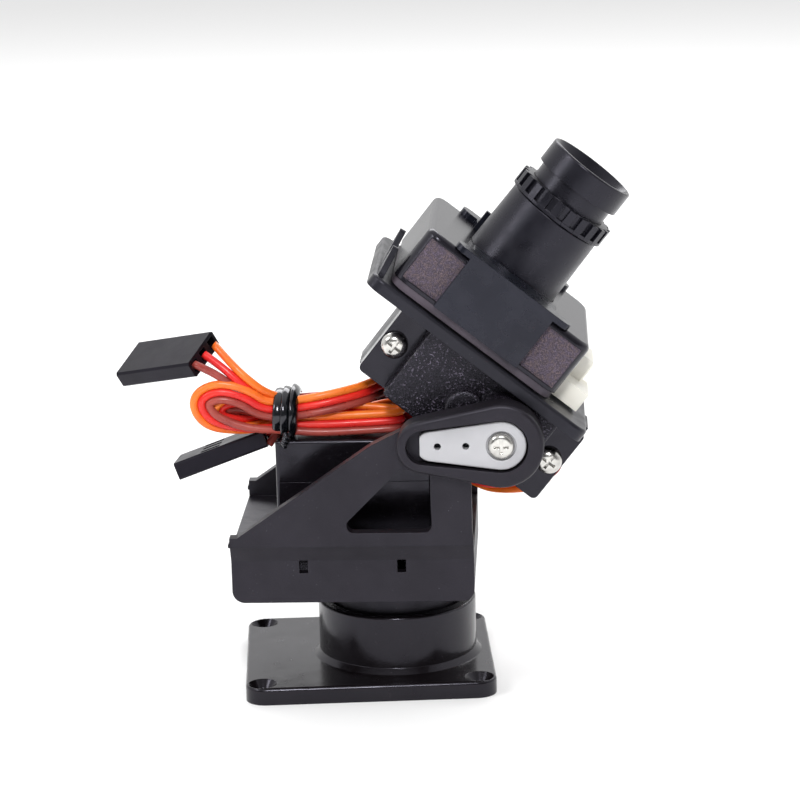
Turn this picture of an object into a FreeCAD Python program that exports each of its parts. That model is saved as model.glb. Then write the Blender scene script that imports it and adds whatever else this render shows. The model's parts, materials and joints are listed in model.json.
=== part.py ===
import FreeCAD, Part
import math
import os

# Pan and tilt mount for a small board camera, in millimetres.
# Row frame: origin at the centre of the base plate's underside, +Z up, the camera looks towards +X.
# Yoke frame: x and y from the pan axis, turned by PAN_REST about it, z as in the row frame.
# Head frame: u and w from the tilt axis, turned by TILT_REST; u runs down the camera plate,
# w is the optical axis, y is the yoke's.

# ---- rest pose and axes ----
PAN_AXIS_X = 4.4
PAN_REST = -4.5
TILT_AXIS_X = 16.2
TILT_AXIS_Z = 38.6
TILT_REST = 38.5

# ---- base plate and collar ----
BASE_LENGTH = 36.5
BASE_WIDTH = 33.0
BASE_THICK = 2.5
BASE_CORNER_R = 3.0
BASE_EDGE_R = 0.5
HOLE_EDGE = 2.5
HOLE_R = 1.2
HOLE_SINK_R = 2.1
HOLE_SINK_DEPTH = 1.1
COLLAR_R = 11.7
COLLAR_TOP = 11.0
COLLAR_WALL = 1.8
COLLAR_FOOT_R = 0.8
PAN_ACCESS_R = 2.6
HORN_SCREW_RADIUS = 5.4

# ---- nine gram servo ----
CASE_LENGTH = 22.8
CASE_WIDTH = 12.2
CASE_HEIGHT = 22.5
CASE_WALL = 1.0
CASE_CORNER_R = 0.5
CASE_SEAM = 6.3
CASE_POST_R = 1.25
TAB_HEIGHT = 15.9
TAB_THICK = 2.5
TAB_SPAN = 32.2
TAB_HOLE_GAP = 28.0
TAB_HOLE_R = 1.0
SERVO_BOSS_R = 5.9
SERVO_BOSS_HEIGHT = 4.0
SERVO_BUMP_R = 2.8
SERVO_BUMP_GAP = 6.7
SERVO_BUMP_HEIGHT = 3.4
SHAFT_R = 2.4
SHAFT_OUT = 3.0
SHAFT_FROM_END = 5.9
OUTPUT_GEAR_R = 4.6
OUTPUT_GEAR_TEETH = 24
MOTOR_R = 4.1
EXIT_HEIGHT = 4.5
EXIT_OUT = 0.5
GEAR_DECK_THICK = 1.0
CASE_SCREW_R = 0.55
CASE_HEAD_R = 0.95
CASE_HEAD_DEPTH = 0.9

# ---- servo horns ----
HORN_THICK = 1.6
HORN_HUB_R = 3.45
HORN_TIP_R = 2.2
HORN_REACH = 9.8
HORN_HOLE_R = 0.5
HORN_HOLES = (-9.0, -5.0)
PAN_HORN_REACH = 6.6
HORN_HUB_DEPTH = 1.8

# ---- yoke ----
YOKE_LEFT = -22.9
YOKE_RIGHT = 12.0
YOKE_BOTTOM = 14.8
BAND_TOP = 21.1
BAND_WALL = 1.6
BAND_CORNER_R = 1.8
END_WALL = 1.2
DECK_THICK = 1.5
DECK_TOP = 22.6
WALL_THICK = 2.0
WALL_STEP = 1.7
WALL_FOOT = 24.4
STRUT_LEFT_TOP = 23.3
STRUT_KNEE = (-2.3, 38.5)
STRUT_TOP = (4.6, 41.9)
ARM_TOP = 35.0
WINDOW_LEFT = -7.6
WINDOW_BOTTOM = 25.6
WINDOW_TOP = 34.9
WINDOW_RIGHT = 6.1
WINDOW_CORNER_R = 1.1
NOTCHES = (-12.5, 1.6)
NOTCH_WIDTH = 1.25
NOTCH_DEPTH = 1.9
HORN_RIM = 2.1
HORN_RIM_DEPTH = 4.0
HORN_RIM_SHIFT = 1.2
HORN_FLOOR = 1.7
FAR_HUB_R = 5.5
FAR_HUB_OUT = 1.0
SPIGOT_R = 9.6
SPIGOT_BORE_R = 7.0
SPIGOT_DROP = 5.0
CLAMP_SCREW_R = 0.9
CLAMP_HEAD_R = 1.7

# ---- tilting frame ----
PLATE_LEFT = -28.7
PLATE_RIGHT = 9.2
PLATE_HALF_WIDTH = 14.9
PLATE_THICK = 1.9
PLATE_CORNER_R = 2.0
LUG_DEPTH = 7.0
LEAF_TILT = -8.0
LEAVES = ((-11.0, 4.4), (-5.5, 6.0))
LEAF_ROOT_R = 2.4
LEAF_TIP_R = 0.7
LEAF_THICK = 0.9
CRADLE_WALL = 1.4
PIVOT_R = 2.5
PIVOT_HEAD_R = 3.4
TAB_SCREW_R = 0.85

# ---- camera ----
CAMERA_CENTRE = -12.0
CAMERA_LENGTH = 28.5
CAMERA_WIDTH = 28.0
FRONT_RISE = 9.65
CAMERA_WALL = 1.4
CAMERA_CORNER_R = 2.2
CAMERA_EDGE_R = 0.9
PANEL_RIM = 1.0
PANEL_DEPTH = 0.4
COVER_THICK = 1.15
PAD_THICK = 0.2
CLIP_WIDTH = 14.6
CLIP_THICK = 0.7
CLIP_EAR = 2.6
CLIP_LIP = 3.2
CLIP_REACH = 6.8
PRONG_SIZE = (1.6, 0.9, 2.4)
BOARD_RISE = 2.95
BOARD_THICK = 1.2
BARREL_R = 7.45
BARREL_NOSE_R = 7.25
BARREL_RISE = 20.05
THREAD_R = 6.0
LOCK_RING_R = 7.7
LOCK_RING_HEIGHT = 2.7
LOCK_RING_NOTCHES = 22
LOCK_RING_NOTCH = 1.05
LOCK_RING_RIM = 0.5
LENS_NECK = 2.3
LENS_HEAD_HEIGHT = 3.6
LENS_HEAD_R = 6.7
LENS_MOUTH_R = 6.2
LENS_MOUTH_DEPTH = 1.8
LENS_BORE_R = 5.0
SOCKET_Y0 = -9.0
SOCKET_Y1 = -1.0
SOCKET_RISE = 3.15
SOCKET_OUT = 4.6
SIDE_PLUG_Y0 = -4.0
SIDE_PLUG_Y1 = 4.0
SIDE_PLUG_RISE = 6.55
SIDE_PLUG_OUT = 3.3

# ---- leads ----
WIRE_D = 1.2
LEAD_D = 2.4
PLUG_LENGTH = 14.0
PLUG_WIDTH = 7.7
PLUG_THICK = 2.6
PIN_PITCH = 2.54
TIE_THICK = 0.6
TIE_WIDTH = 1.8
HANK_LOOP = (-24.85, 41.4, 3.75)
HANK_WAIST = (-15.2, 39.8, 2.35)
HANK_END = (-0.9, 38.75, 2.2)
HANK_MIDDLE = -3.9
HANK_DEPTH = 6.0

# ---- clearances ----
RUNNING_GAP = 0.05
SLIP_GAP = 0.1
OPEN_GAP = 0.3

# ---- sizes that follow from the ones above ----
COLLAR_BORE_R = COLLAR_R - COLLAR_WALL
SERVO_MIDDLE = SHAFT_FROM_END - CASE_LENGTH / 2
GEAR_DECK = TAB_HEIGHT + TAB_THICK
MOTOR_X = SHAFT_FROM_END - CASE_LENGTH + CASE_WALL + MOTOR_R + SLIP_GAP + 1.0
PAN_CASE_TOP = 36.4
PAN_BOSS_END = PAN_CASE_TOP - CASE_HEIGHT - SERVO_BOSS_HEIGHT
PAN_HORN_HUB_TOP = PAN_BOSS_END - OPEN_GAP
PAN_HORN_TOP = PAN_HORN_HUB_TOP - HORN_HUB_DEPTH - HORN_THICK
COLLAR_FLOOR = PAN_HORN_TOP - SLIP_GAP
TILT_CASE_END = 11.5
TILT_BOSS_END = TILT_CASE_END - CASE_HEIGHT - SERVO_BOSS_HEIGHT
HORN_SCREW_SEAT = TILT_BOSS_END - SHAFT_OUT - 0.3
NEAR_INNER = TILT_BOSS_END - OPEN_GAP
NEAR_OUTER = NEAR_INNER - WALL_THICK
FAR_INNER = TILT_CASE_END + SLIP_GAP + CRADLE_WALL + OPEN_GAP
FAR_OUTER = FAR_INNER + WALL_THICK
PLATE_FOOT = CASE_WIDTH / 2 + RUNNING_GAP
PLATE_TOP = PLATE_FOOT + PLATE_THICK
COVER_FOOT = PLATE_TOP + PAD_THICK
COVER_TOP = COVER_FOOT + COVER_THICK
CAMERA_FRONT = COVER_FOOT + FRONT_RISE
BOARD_LEVEL = COVER_FOOT + BOARD_RISE
BARREL_TOP = COVER_FOOT + BARREL_RISE
LOCK_RING_TOP = BARREL_TOP + LOCK_RING_HEIGHT
LENS_HEAD_FOOT = LOCK_RING_TOP + LENS_NECK
LENS_HEAD_TOP = LENS_HEAD_FOOT + LENS_HEAD_HEIGHT
SOCKET_TOP = COVER_FOOT + SOCKET_RISE
SIDE_PLUG_TOP = COVER_FOOT + SIDE_PLUG_RISE
HORN_FACE = NEAR_INNER - HORN_FLOOR
RIM_FACE = NEAR_INNER - HORN_RIM_DEPTH


# ---- shape helpers ----
def vec(x, y, z):
    return FreeCAD.Vector(x, y, z)


def box(x0, x1, y0, y1, z0, z1):
    return Part.makeBox(x1 - x0, y1 - y0, z1 - z0, vec(x0, y0, z0))


def rod(r, start, end):
    way = end.sub(start)
    return Part.makeCylinder(r, way.Length, start, way)


def rod_x(r, x0, x1, y, z):
    return rod(r, vec(x0, y, z), vec(x1, y, z))


def rod_y(r, y0, y1, x, z):
    return rod(r, vec(x, y0, z), vec(x, y1, z))


def rod_z(r, z0, z1, x=0.0, y=0.0):
    return rod(r, vec(x, y, z0), vec(x, y, z1))


def cone_z(r0, r1, z0, z1, x=0.0, y=0.0):
    return Part.makeCone(r0, r1, z1 - z0, vec(x, y, z0), vec(0, 0, 1))


def joined(*shapes):
    whole = shapes[0]
    for shape in shapes[1:]:
        whole = whole.fuse(shape)
    return whole.removeSplitter()


def cut(shape, *tools):
    for tool in tools:
        shape = shape.cut(tool)
    return shape


def group(shapes):
    return Part.makeCompound(shapes)


def rounded_loop(points, radius):
    """A closed wire through the points, with each corner rounded by an arc."""
    count = len(points)
    ends = []
    for i in range(count):
        before, at, after = points[i - 1], points[i], points[(i + 1) % count]
        arrive = at.sub(before).normalize()
        leave = after.sub(at).normalize()
        half = arrive.getAngle(leave) / 2
        back = radius * math.tan(half)
        lean = leave.sub(arrive)
        lean.normalize()
        middle = at.add(lean * (radius / math.cos(half) - radius))
        ends.append((at.sub(arrive * back), middle, at.add(leave * back)))
    edges = []
    for i in range(count):
        first, middle, last = ends[i]
        edges.append(Part.Arc(first, middle, last).toShape())
        edges.append(Part.LineSegment(last, ends[(i + 1) % count][0]).toShape())
    return Part.Wire(edges)


def rounded_box(x0, x1, y0, y1, z0, z1, radius):
    """A box with its four upright edges rounded."""
    corners = [vec(x0, y0, z0), vec(x1, y0, z0), vec(x1, y1, z0), vec(x0, y1, z0)]
    return Part.Face(rounded_loop(corners, radius)).extrude(vec(0, 0, z1 - z0))


def side_prism(points, y0, y1, radius=0.0):
    """A prism along y with its outline given as (x, z) points."""
    corners = [vec(x, y0, z) for x, z in points]
    if radius:
        outline = rounded_loop(corners, radius)
    else:
        outline = Part.makePolygon(corners + [corners[0]])
    return Part.Face(outline).extrude(vec(0, y1 - y0, 0))


def end_prism(points, x0, x1):
    """A prism along x with its outline given as (y, z) points."""
    corners = [vec(x0, y, z) for y, z in points]
    return Part.Face(Part.makePolygon(corners + [corners[0]])).extrude(vec(x1 - x0, 0, 0))


def tapered_slot(x0, z0, r0, x1, z1, r1, y0, y1):
    """A prism along y around two circles and their outer tangents."""
    dx, dz = x1 - x0, z1 - z0
    far = math.hypot(dx, dz)
    along = math.atan2(dz, dx)
    open_angle = math.acos((r0 - r1) / far)

    def on(x, z, r, angle):
        return vec(x + r * math.cos(angle), y0, z + r * math.sin(angle))

    upper, lower = along + open_angle, along - open_angle
    edges = [
        Part.LineSegment(on(x0, z0, r0, upper), on(x1, z1, r1, upper)).toShape(),
        Part.Arc(on(x1, z1, r1, upper), on(x1, z1, r1, along), on(x1, z1, r1, lower)).toShape(),
        Part.LineSegment(on(x1, z1, r1, lower), on(x0, z0, r0, lower)).toShape(),
        Part.Arc(
            on(x0, z0, r0, lower), on(x0, z0, r0, along + math.pi), on(x0, z0, r0, upper)
        ).toShape(),
    ]
    return Part.Face(Part.Wire(edges)).extrude(vec(0, y1 - y0, 0))


def level_edges(shape, z):
    """The edges of a shape that lie wholly at one height."""
    return [e for e in shape.Edges if abs(e.BoundBox.ZMin - z) < 1e-6 and abs(e.BoundBox.ZMax - z) < 1e-6]


def wall_edges(shape, y):
    """The edges of a shape that lie wholly at one depth."""
    return [e for e in shape.Edges if abs(e.BoundBox.YMin - y) < 1e-6 and abs(e.BoundBox.YMax - y) < 1e-6]


def softened(shape, radius, edges):
    return shape.makeFillet(radius, edges)


def pan_head_screw(head_r, head_height, shank_r, length, slot_width=0.45):
    """A screw with a domed cross head; its seat is at z = 0 and its shank runs to -length."""
    head = rod_z(head_r, 0, head_height)
    head = softened(head, head_height * 0.7, level_edges(head, head_height))
    slot_half = head_r * 0.55
    for turn in (0, 90):
        slot = box(-slot_half, slot_half, -slot_width / 2, slot_width / 2, head_height * 0.45, head_height + 1)
        slot.rotate(vec(0, 0, 0), vec(0, 0, 1), turn)
        head = head.cut(slot)
    shank = rod_z(shank_r, -length + shank_r, 0)
    point = cone_z(shank_r * 0.3, shank_r, -length, -length + shank_r)
    return joined(head, shank, point)


def laid(shape, turn_axis, turn, place):
    """A copy of a shape, turned about an axis through the origin and then moved."""
    shape = shape.copy()
    shape.rotate(vec(0, 0, 0), turn_axis, turn)
    shape.translate(place)
    return shape


# ---- the three frames ----
def yoke_to_row(shape):
    return laid(shape, vec(0, 0, 1), PAN_REST, vec(PAN_AXIS_X, 0, 0))


def head_to_row(shape):
    return yoke_to_row(laid(shape, vec(0, 1, 0), TILT_REST, vec(TILT_AXIS_X, 0, TILT_AXIS_Z)))


def pan_servo_to_row(shape):
    """From the servo's own frame: shaft axis on z, case bottom at z = 0, shaft end up."""
    return yoke_to_row(laid(shape, vec(1, 0, 0), 180, vec(0, 0, PAN_CASE_TOP)))


def tilt_servo_to_head(shape):
    return laid(shape, vec(1, 0, 0), 90, vec(0, TILT_CASE_END, 0))


# ---- servo, in its own frame ----
def case_block(z0, z1, inset=0.0, radius=CASE_CORNER_R):
    left, right = SHAFT_FROM_END - CASE_LENGTH + inset, SHAFT_FROM_END - inset
    half = CASE_WIDTH / 2 - inset
    return rounded_box(left, right, -half, half, z0, z1, radius)


def case_corners():
    """The four case screw centres, as (x, y)."""
    inset = CASE_WALL + CASE_POST_R * 0.45
    left, right = SHAFT_FROM_END - CASE_LENGTH + inset, SHAFT_FROM_END - inset
    half = CASE_WIDTH / 2 - inset
    return [(x, y) for x in (left, right) for y in (-half, half)]


def case_cavity(z0, z1):
    """The room inside the case, less the four screw posts."""
    room = case_block(z0, z1, CASE_WALL, CASE_CORNER_R / 2)
    return cut(room, *[rod_z(CASE_POST_R, z0 - 1, z1 + 1, x, y) for x, y in case_corners()])


def case_screw_holes(z0, z1, radius):
    return [rod_z(radius, z0, z1, x, y) for x, y in case_corners()]


def servo_bottom_cover():
    cover = case_block(0, CASE_SEAM)
    cover = softened(cover, CASE_CORNER_R, level_edges(cover, 0))
    cover = cut(cover, case_cavity(CASE_WALL, CASE_SEAM + 1))
    heads = case_screw_holes(-1, CASE_HEAD_DEPTH, CASE_HEAD_R + RUNNING_GAP)
    shanks = case_screw_holes(0, CASE_SEAM + 1, CASE_SCREW_R + RUNNING_GAP)
    return cut(cover, *heads, *shanks, servo_lead_grommet())


def servo_lead_grommet():
    """The moulded block that grips the flat lead in the case wall."""
    half = 3 * WIRE_D / 2 + 0.6
    tall = WIRE_D / 2 + 0.6
    inner, outer = SHAFT_FROM_END - CASE_WALL - 0.8, SHAFT_FROM_END + EXIT_OUT
    return box(inner, outer, -half, half, EXIT_HEIGHT - tall, EXIT_HEIGHT + tall)


def servo_case():
    middle = case_block(CASE_SEAM, GEAR_DECK)
    half_span = TAB_SPAN / 2
    half_width = CASE_WIDTH / 2
    tabs = rounded_box(
        SERVO_MIDDLE - half_span,
        SERVO_MIDDLE + half_span,
        -half_width,
        half_width,
        TAB_HEIGHT,
        GEAR_DECK,
        0.8,
    )
    case = joined(middle, tabs)
    case = cut(case, case_cavity(CASE_SEAM - 1, GEAR_DECK - GEAR_DECK_THICK))
    for side in (-1, 1):
        x = SERVO_MIDDLE + side * TAB_HOLE_GAP / 2
        case = case.cut(rod_z(TAB_HOLE_R, TAB_HEIGHT - 1, GEAR_DECK + 1, x))
    case = cut(case, *case_screw_holes(CASE_SEAM - 1, GEAR_DECK + 1, CASE_SCREW_R + RUNNING_GAP))
    return cut(
        case,
        rod_z(1.2, GEAR_DECK - 2, GEAR_DECK + 1),
        rod_z(0.9, GEAR_DECK - 2, GEAR_DECK + 1, MOTOR_X),
    )


def servo_gear_cap():
    cap = case_block(GEAR_DECK, CASE_HEIGHT)
    cap = softened(cap, 0.35, level_edges(cap, CASE_HEIGHT))
    boss = rod_z(SERVO_BOSS_R, CASE_HEIGHT - 0.5, CASE_HEIGHT + SERVO_BOSS_HEIGHT)
    boss = softened(boss, 0.5, level_edges(boss, CASE_HEIGHT + SERVO_BOSS_HEIGHT))
    bump_top = CASE_HEIGHT + SERVO_BUMP_HEIGHT
    bump = rod_z(SERVO_BUMP_R, CASE_HEIGHT - 0.5, bump_top, -SERVO_BUMP_GAP)
    bump = softened(bump, 0.6, level_edges(bump, bump_top))
    cap = joined(cap, boss, bump)
    cap = cut(cap, case_cavity(GEAR_DECK - 1, CASE_HEIGHT - CASE_WALL))
    bore = rod_z(SHAFT_R + RUNNING_GAP, CASE_HEIGHT - 2, CASE_HEIGHT + SERVO_BOSS_HEIGHT + 1)
    return cut(cap, bore, *case_screw_holes(GEAR_DECK - 1, GEAR_DECK + 2.0, CASE_SCREW_R))


def servo_case_screws():
    screw = joined(
        rod_z(CASE_HEAD_R, 0.1, CASE_HEAD_DEPTH),
        rod_z(CASE_SCREW_R, CASE_HEAD_DEPTH, GEAR_DECK + 1.9),
    )
    slot = joined(box(-0.6, 0.6, -0.12, 0.12, 0, 0.5), box(-0.12, 0.12, -0.6, 0.6, 0, 0.5))
    screw = screw.cut(slot)
    return group([laid(screw, vec(0, 0, 1), 0, vec(x, y, 0)) for x, y in case_corners()])


def servo_motor():
    body = rod_z(MOTOR_R, CASE_SEAM - 0.8, GEAR_DECK - GEAR_DECK_THICK - SLIP_GAP, MOTOR_X)
    body = softened(body, 0.5, level_edges(body, CASE_SEAM - 0.8))
    shaft = rod_z(0.4, GEAR_DECK - 2, GEAR_DECK + 2.2, MOTOR_X)
    pinion = toothed_disc(1.0, 0.62, 10, GEAR_DECK + 0.4, GEAR_DECK + 2.0)
    pinion.translate(vec(MOTOR_X, 0, 0))
    return joined(body, shaft, pinion)


def toothed_disc(tip_r, root_r, teeth, z0, z1):
    """A spur gear with straight-sided teeth."""
    step = 2 * math.pi / teeth
    corners = []
    for i in range(teeth):
        for share, r in ((-0.32, root_r), (-0.16, tip_r), (0.16, tip_r), (0.32, root_r)):
            angle = (i + share) * step
            corners.append(vec(r * math.cos(angle), r * math.sin(angle), z0))
    return Part.Face(Part.makePolygon(corners + [corners[0]])).extrude(vec(0, 0, z1 - z0))


def servo_circuit():
    board_top = CASE_WALL + 1.6
    inset = CASE_WALL + CASE_POST_R + 1.1
    left, right = SHAFT_FROM_END - CASE_LENGTH + inset, SHAFT_FROM_END - inset - 0.6
    board = box(left, right, -4.6, 4.6, board_top, board_top + 0.8)
    chip = box(left + 3, left + 7, -2, 2, board_top + 0.8, board_top + 1.7)
    small = box(left + 9, left + 10.5, -1.5, 1.5, board_top + 0.8, board_top + 1.3)
    return joined(board, chip, small)


def servo_potentiometer():
    top = GEAR_DECK - GEAR_DECK_THICK - SLIP_GAP
    body = rod_z(3.2, top - 5.5, top)
    legs = [box(x - 0.25, x + 0.25, -3.6, -3.1, top - 8.0, top - 4.5) for x in (-1.5, 0, 1.5)]
    body = joined(body, box(-2.2, 2.2, -3.7, -2.5, top - 5.5, top - 3.5), *legs)
    return body.cut(rod_z(0.9 + RUNNING_GAP, top - 4.0, top + 1))


def servo_output_shaft():
    """The output gear, its lower pin in the potentiometer and its splined end."""
    gear = toothed_disc(OUTPUT_GEAR_R, OUTPUT_GEAR_R - 0.55, OUTPUT_GEAR_TEETH, GEAR_DECK + 0.4, GEAR_DECK + 2.0)
    pin = rod_z(0.9, GEAR_DECK - GEAR_DECK_THICK - 3.5, GEAR_DECK + 1)
    end = CASE_HEIGHT + SERVO_BOSS_HEIGHT + SHAFT_OUT
    shaft = rod_z(SHAFT_R, GEAR_DECK + 1, end)
    shaft = shaft.makeChamfer(0.25, level_edges(shaft, end))
    return cut(joined(gear, pin, shaft), rod_z(0.8, end - 6.0, end + 1))


def horn_screw():
    """The screw in the shaft's end, with its seat at z = 0."""
    return pan_head_screw(1.9, 1.1, 0.8, 5.0)


# ---- base ----
def base_plate():
    plate = rounded_box(
        -BASE_LENGTH / 2, BASE_LENGTH / 2, -BASE_WIDTH / 2, BASE_WIDTH / 2, 0, BASE_THICK, BASE_CORNER_R
    )
    plate = softened(plate, BASE_EDGE_R, level_edges(plate, BASE_THICK))
    collar = rod_z(COLLAR_R, 0.5, COLLAR_TOP, PAN_AXIS_X)
    foot = cone_z(COLLAR_R + COLLAR_FOOT_R, COLLAR_R, BASE_THICK, BASE_THICK + COLLAR_FOOT_R, PAN_AXIS_X)
    body = joined(plate, collar, foot)
    body = body.cut(rod_z(COLLAR_BORE_R, COLLAR_FLOOR, COLLAR_TOP + 1, PAN_AXIS_X))
    rim = [e for e in level_edges(body, COLLAR_TOP)]
    body = softened(body, 0.35, rim)
    for x, y in base_holes():
        body = body.cut(rod_z(HOLE_R, -1, BASE_THICK + 1, x, y))
        sink = cone_z(HOLE_R, HOLE_SINK_R, BASE_THICK - HOLE_SINK_DEPTH, BASE_THICK, x, y)
        body = body.cut(sink)
    access = rod_z(PAN_ACCESS_R, -1, COLLAR_FLOOR + 1, PAN_AXIS_X)
    body = body.cut(access)
    for x, y in base_horn_screw_places():
        body = body.cut(rod_z(1.6, -1, COLLAR_FLOOR - 1.6, x, y))
        body = body.cut(rod_z(0.75, -1, COLLAR_FLOOR + 1, x, y))
    return body


def base_holes():
    half_x = BASE_LENGTH / 2 - HOLE_EDGE
    half_y = BASE_WIDTH / 2 - HOLE_EDGE
    return [(x, y) for x in (-half_x, half_x) for y in (-half_y, half_y)]


def base_horn_screw_places():
    """Where two small screws hold the pan horn down on the collar's floor."""
    return [(PAN_AXIS_X + side * HORN_SCREW_RADIUS, 0.0) for side in (-1, 1)]


def pan_horn():
    """A two-armed horn that lies on the collar's floor, hub up."""
    arms = joined(
        laid(tapered_slot(0, 0, HORN_HUB_R, PAN_HORN_REACH, 0, HORN_TIP_R, 0, HORN_THICK), vec(1, 0, 0), 90, vec(0, 0, 0)),
        laid(tapered_slot(0, 0, HORN_HUB_R, -PAN_HORN_REACH, 0, HORN_TIP_R, 0, HORN_THICK), vec(1, 0, 0), 90, vec(0, 0, 0)),
    )
    arms.translate(vec(0, 0, PAN_HORN_TOP))
    hub = rod_z(HORN_HUB_R, PAN_HORN_TOP + HORN_THICK - 0.2, PAN_HORN_HUB_TOP)
    horn = joined(arms, hub)
    socket_foot = PAN_BOSS_END - SHAFT_OUT
    horn = cut(horn, rod_z(SHAFT_R, socket_foot, PAN_HORN_HUB_TOP + 1), rod_z(0.85, PAN_HORN_TOP - 1, socket_foot + 1))
    horn = horn.cut(rod_z(2.1, PAN_HORN_TOP - 1, socket_foot - 0.9))
    for side in (-1, 1):
        horn = horn.cut(rod_z(0.7, PAN_HORN_TOP - 1, PAN_HORN_TOP + HORN_THICK + 1, side * HORN_SCREW_RADIUS))
    horn.translate(vec(PAN_AXIS_X, 0, 0))
    return horn


def base_horn_screws():
    screw = pan_head_screw(1.4, 1.0, 0.7, 3.0)
    seat = COLLAR_FLOOR - 1.6
    return group([laid(screw, vec(1, 0, 0), 180, vec(x, y, seat)) for x, y in base_horn_screw_places()])


# ---- yoke, in the yoke frame ----
def yoke_wall_outline():
    return [
        (YOKE_LEFT - 0.2, WALL_FOOT - 0.8),
        (YOKE_RIGHT - 0.15, WALL_FOOT - 0.8),
        (YOKE_RIGHT - 0.15, ARM_TOP),
        (YOKE_RIGHT - 1.0, ARM_TOP + 4.0),
        STRUT_TOP,
        STRUT_KNEE,
        (YOKE_LEFT - 0.2, STRUT_LEFT_TOP + 0.8),
    ]


def window():
    """The triangular window under the strut, as (x, z) corners."""
    rise = WINDOW_TOP - WINDOW_BOTTOM
    return [
        (WINDOW_LEFT, WINDOW_BOTTOM),
        (WINDOW_RIGHT, WINDOW_BOTTOM),
        (WINDOW_RIGHT, WINDOW_TOP),
        (WINDOW_LEFT + rise, WINDOW_TOP),
    ]


def yoke_half(side, inner, outer):
    """One half of the yoke without its pivot; side is -1 for the near half and 1 for the far half."""
    band_outer = outer - side * WALL_STEP
    band_inner = band_outer - side * BAND_WALL
    section = [
        (band_outer, YOKE_BOTTOM),
        (band_outer, BAND_TOP),
        (outer, WALL_FOOT),
        (outer, WALL_FOOT + 0.6),
        (inner, WALL_FOOT + 0.6),
        (inner, DECK_TOP),
        (0, DECK_TOP),
        (0, DECK_TOP - DECK_THICK),
        (band_inner, DECK_TOP - DECK_THICK),
        (band_inner, YOKE_BOTTOM),
    ]
    low = end_prism(section, YOKE_LEFT, YOKE_RIGHT)
    y0, y1 = sorted((0, band_outer))
    left_end = box(YOKE_LEFT, YOKE_LEFT + END_WALL, y0, y1, YOKE_BOTTOM, DECK_TOP)
    right_end = box(YOKE_RIGHT - END_WALL, YOKE_RIGHT, y0, y1, YOKE_BOTTOM, DECK_TOP)
    tab_foot = PAN_CASE_TOP - GEAR_DECK - RUNNING_GAP
    left_rib = box(YOKE_LEFT + 0.5, SHAFT_FROM_END - CASE_LENGTH - 0.4, y0, y1, YOKE_BOTTOM, tab_foot)
    right_rib = box(SHAFT_FROM_END + 1.4, YOKE_RIGHT - 0.5, y0, y1, YOKE_BOTTOM, tab_foot)
    f0, f1 = sorted((side * (CASE_WIDTH / 2 + 0.2), band_outer))
    floor = box(-SPIGOT_R, YOKE_RIGHT - 0.5, f0, f1, YOKE_BOTTOM, YOKE_BOTTOM + 1.4)
    spigot = cut(
        rod_z(SPIGOT_R, YOKE_BOTTOM - SPIGOT_DROP, YOKE_BOTTOM + 1.0),
        rod_z(SPIGOT_BORE_R, YOKE_BOTTOM - SPIGOT_DROP - 1, YOKE_BOTTOM + 2),
        box(-20, 20, *sorted((0, -side * 20)), 0, 40),
    )
    low = joined(low, left_end, right_end, left_rib, right_rib, floor, spigot)
    rounding = side_prism(
        [(YOKE_LEFT, YOKE_BOTTOM), (YOKE_RIGHT, YOKE_BOTTOM), (YOKE_RIGHT, 60), (YOKE_LEFT, 60)],
        -30,
        30,
        BAND_CORNER_R,
    )
    keep = joined(rounding, rod_z(SPIGOT_R + 1, YOKE_BOTTOM - SPIGOT_DROP - 1, YOKE_BOTTOM + 1))
    low = low.common(keep)
    w0, w1 = sorted((inner, outer))
    wall = side_prism(yoke_wall_outline(), w0, w1)
    half = joined(low, wall)
    case_room = box(
        SHAFT_FROM_END - CASE_LENGTH - SLIP_GAP,
        SHAFT_FROM_END + SLIP_GAP,
        -CASE_WIDTH / 2 - SLIP_GAP,
        CASE_WIDTH / 2 + SLIP_GAP,
        PAN_CASE_TOP - CASE_HEIGHT - SLIP_GAP,
        60,
    )
    bump_room = rod_z(SERVO_BUMP_R + SLIP_GAP, 0, PAN_CASE_TOP - CASE_HEIGHT, -SERVO_BUMP_GAP)
    half = cut(half, case_room, bump_room)
    half = half.cut(side_prism(window(), w0 - 3, w1 + 3, WINDOW_CORNER_R))
    n0, n1 = sorted((band_outer + side, band_inner - side * 0.5))
    for x in NOTCHES:
        half = half.cut(box(x - NOTCH_WIDTH / 2, x + NOTCH_WIDTH / 2, n0, n1, BAND_TOP - NOTCH_DEPTH, BAND_TOP))
    return half


def clamp_places():
    """The two screws along y that hold the yoke's halves together, as (x, z)."""
    z = YOKE_BOTTOM + 1.65
    return [(YOKE_LEFT + 3.0, z), (YOKE_RIGHT - 2.6, z)]


def near_half():
    half = yoke_half(-1, NEAR_INNER, NEAR_OUTER)
    tip_x = TILT_AXIS_X - HORN_REACH - HORN_RIM_SHIFT
    boss = tapered_slot(
        TILT_AXIS_X, TILT_AXIS_Z, HORN_HUB_R + HORN_RIM + 0.5, tip_x, TILT_AXIS_Z, HORN_TIP_R + HORN_RIM - 0.5, RIM_FACE, NEAR_INNER
    )
    boss = softened(boss, 0.6, wall_edges(boss, RIM_FACE))
    half = joined(half, boss)
    recess = tapered_slot(
        TILT_AXIS_X, TILT_AXIS_Z, HORN_HUB_R + 0.35, tip_x, TILT_AXIS_Z, HORN_TIP_R + 0.3, RIM_FACE - 1, HORN_FACE
    )
    bore = rod_y(HORN_HUB_R + 0.25, HORN_FACE - 1, NEAR_INNER + 1, TILT_AXIS_X, TILT_AXIS_Z)
    half = cut(half, recess, bore)
    for x, z in clamp_places():
        half = half.cut(rod_y(CLAMP_SCREW_R - 0.1, -9.0, 1, x, z))
    return half


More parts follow.
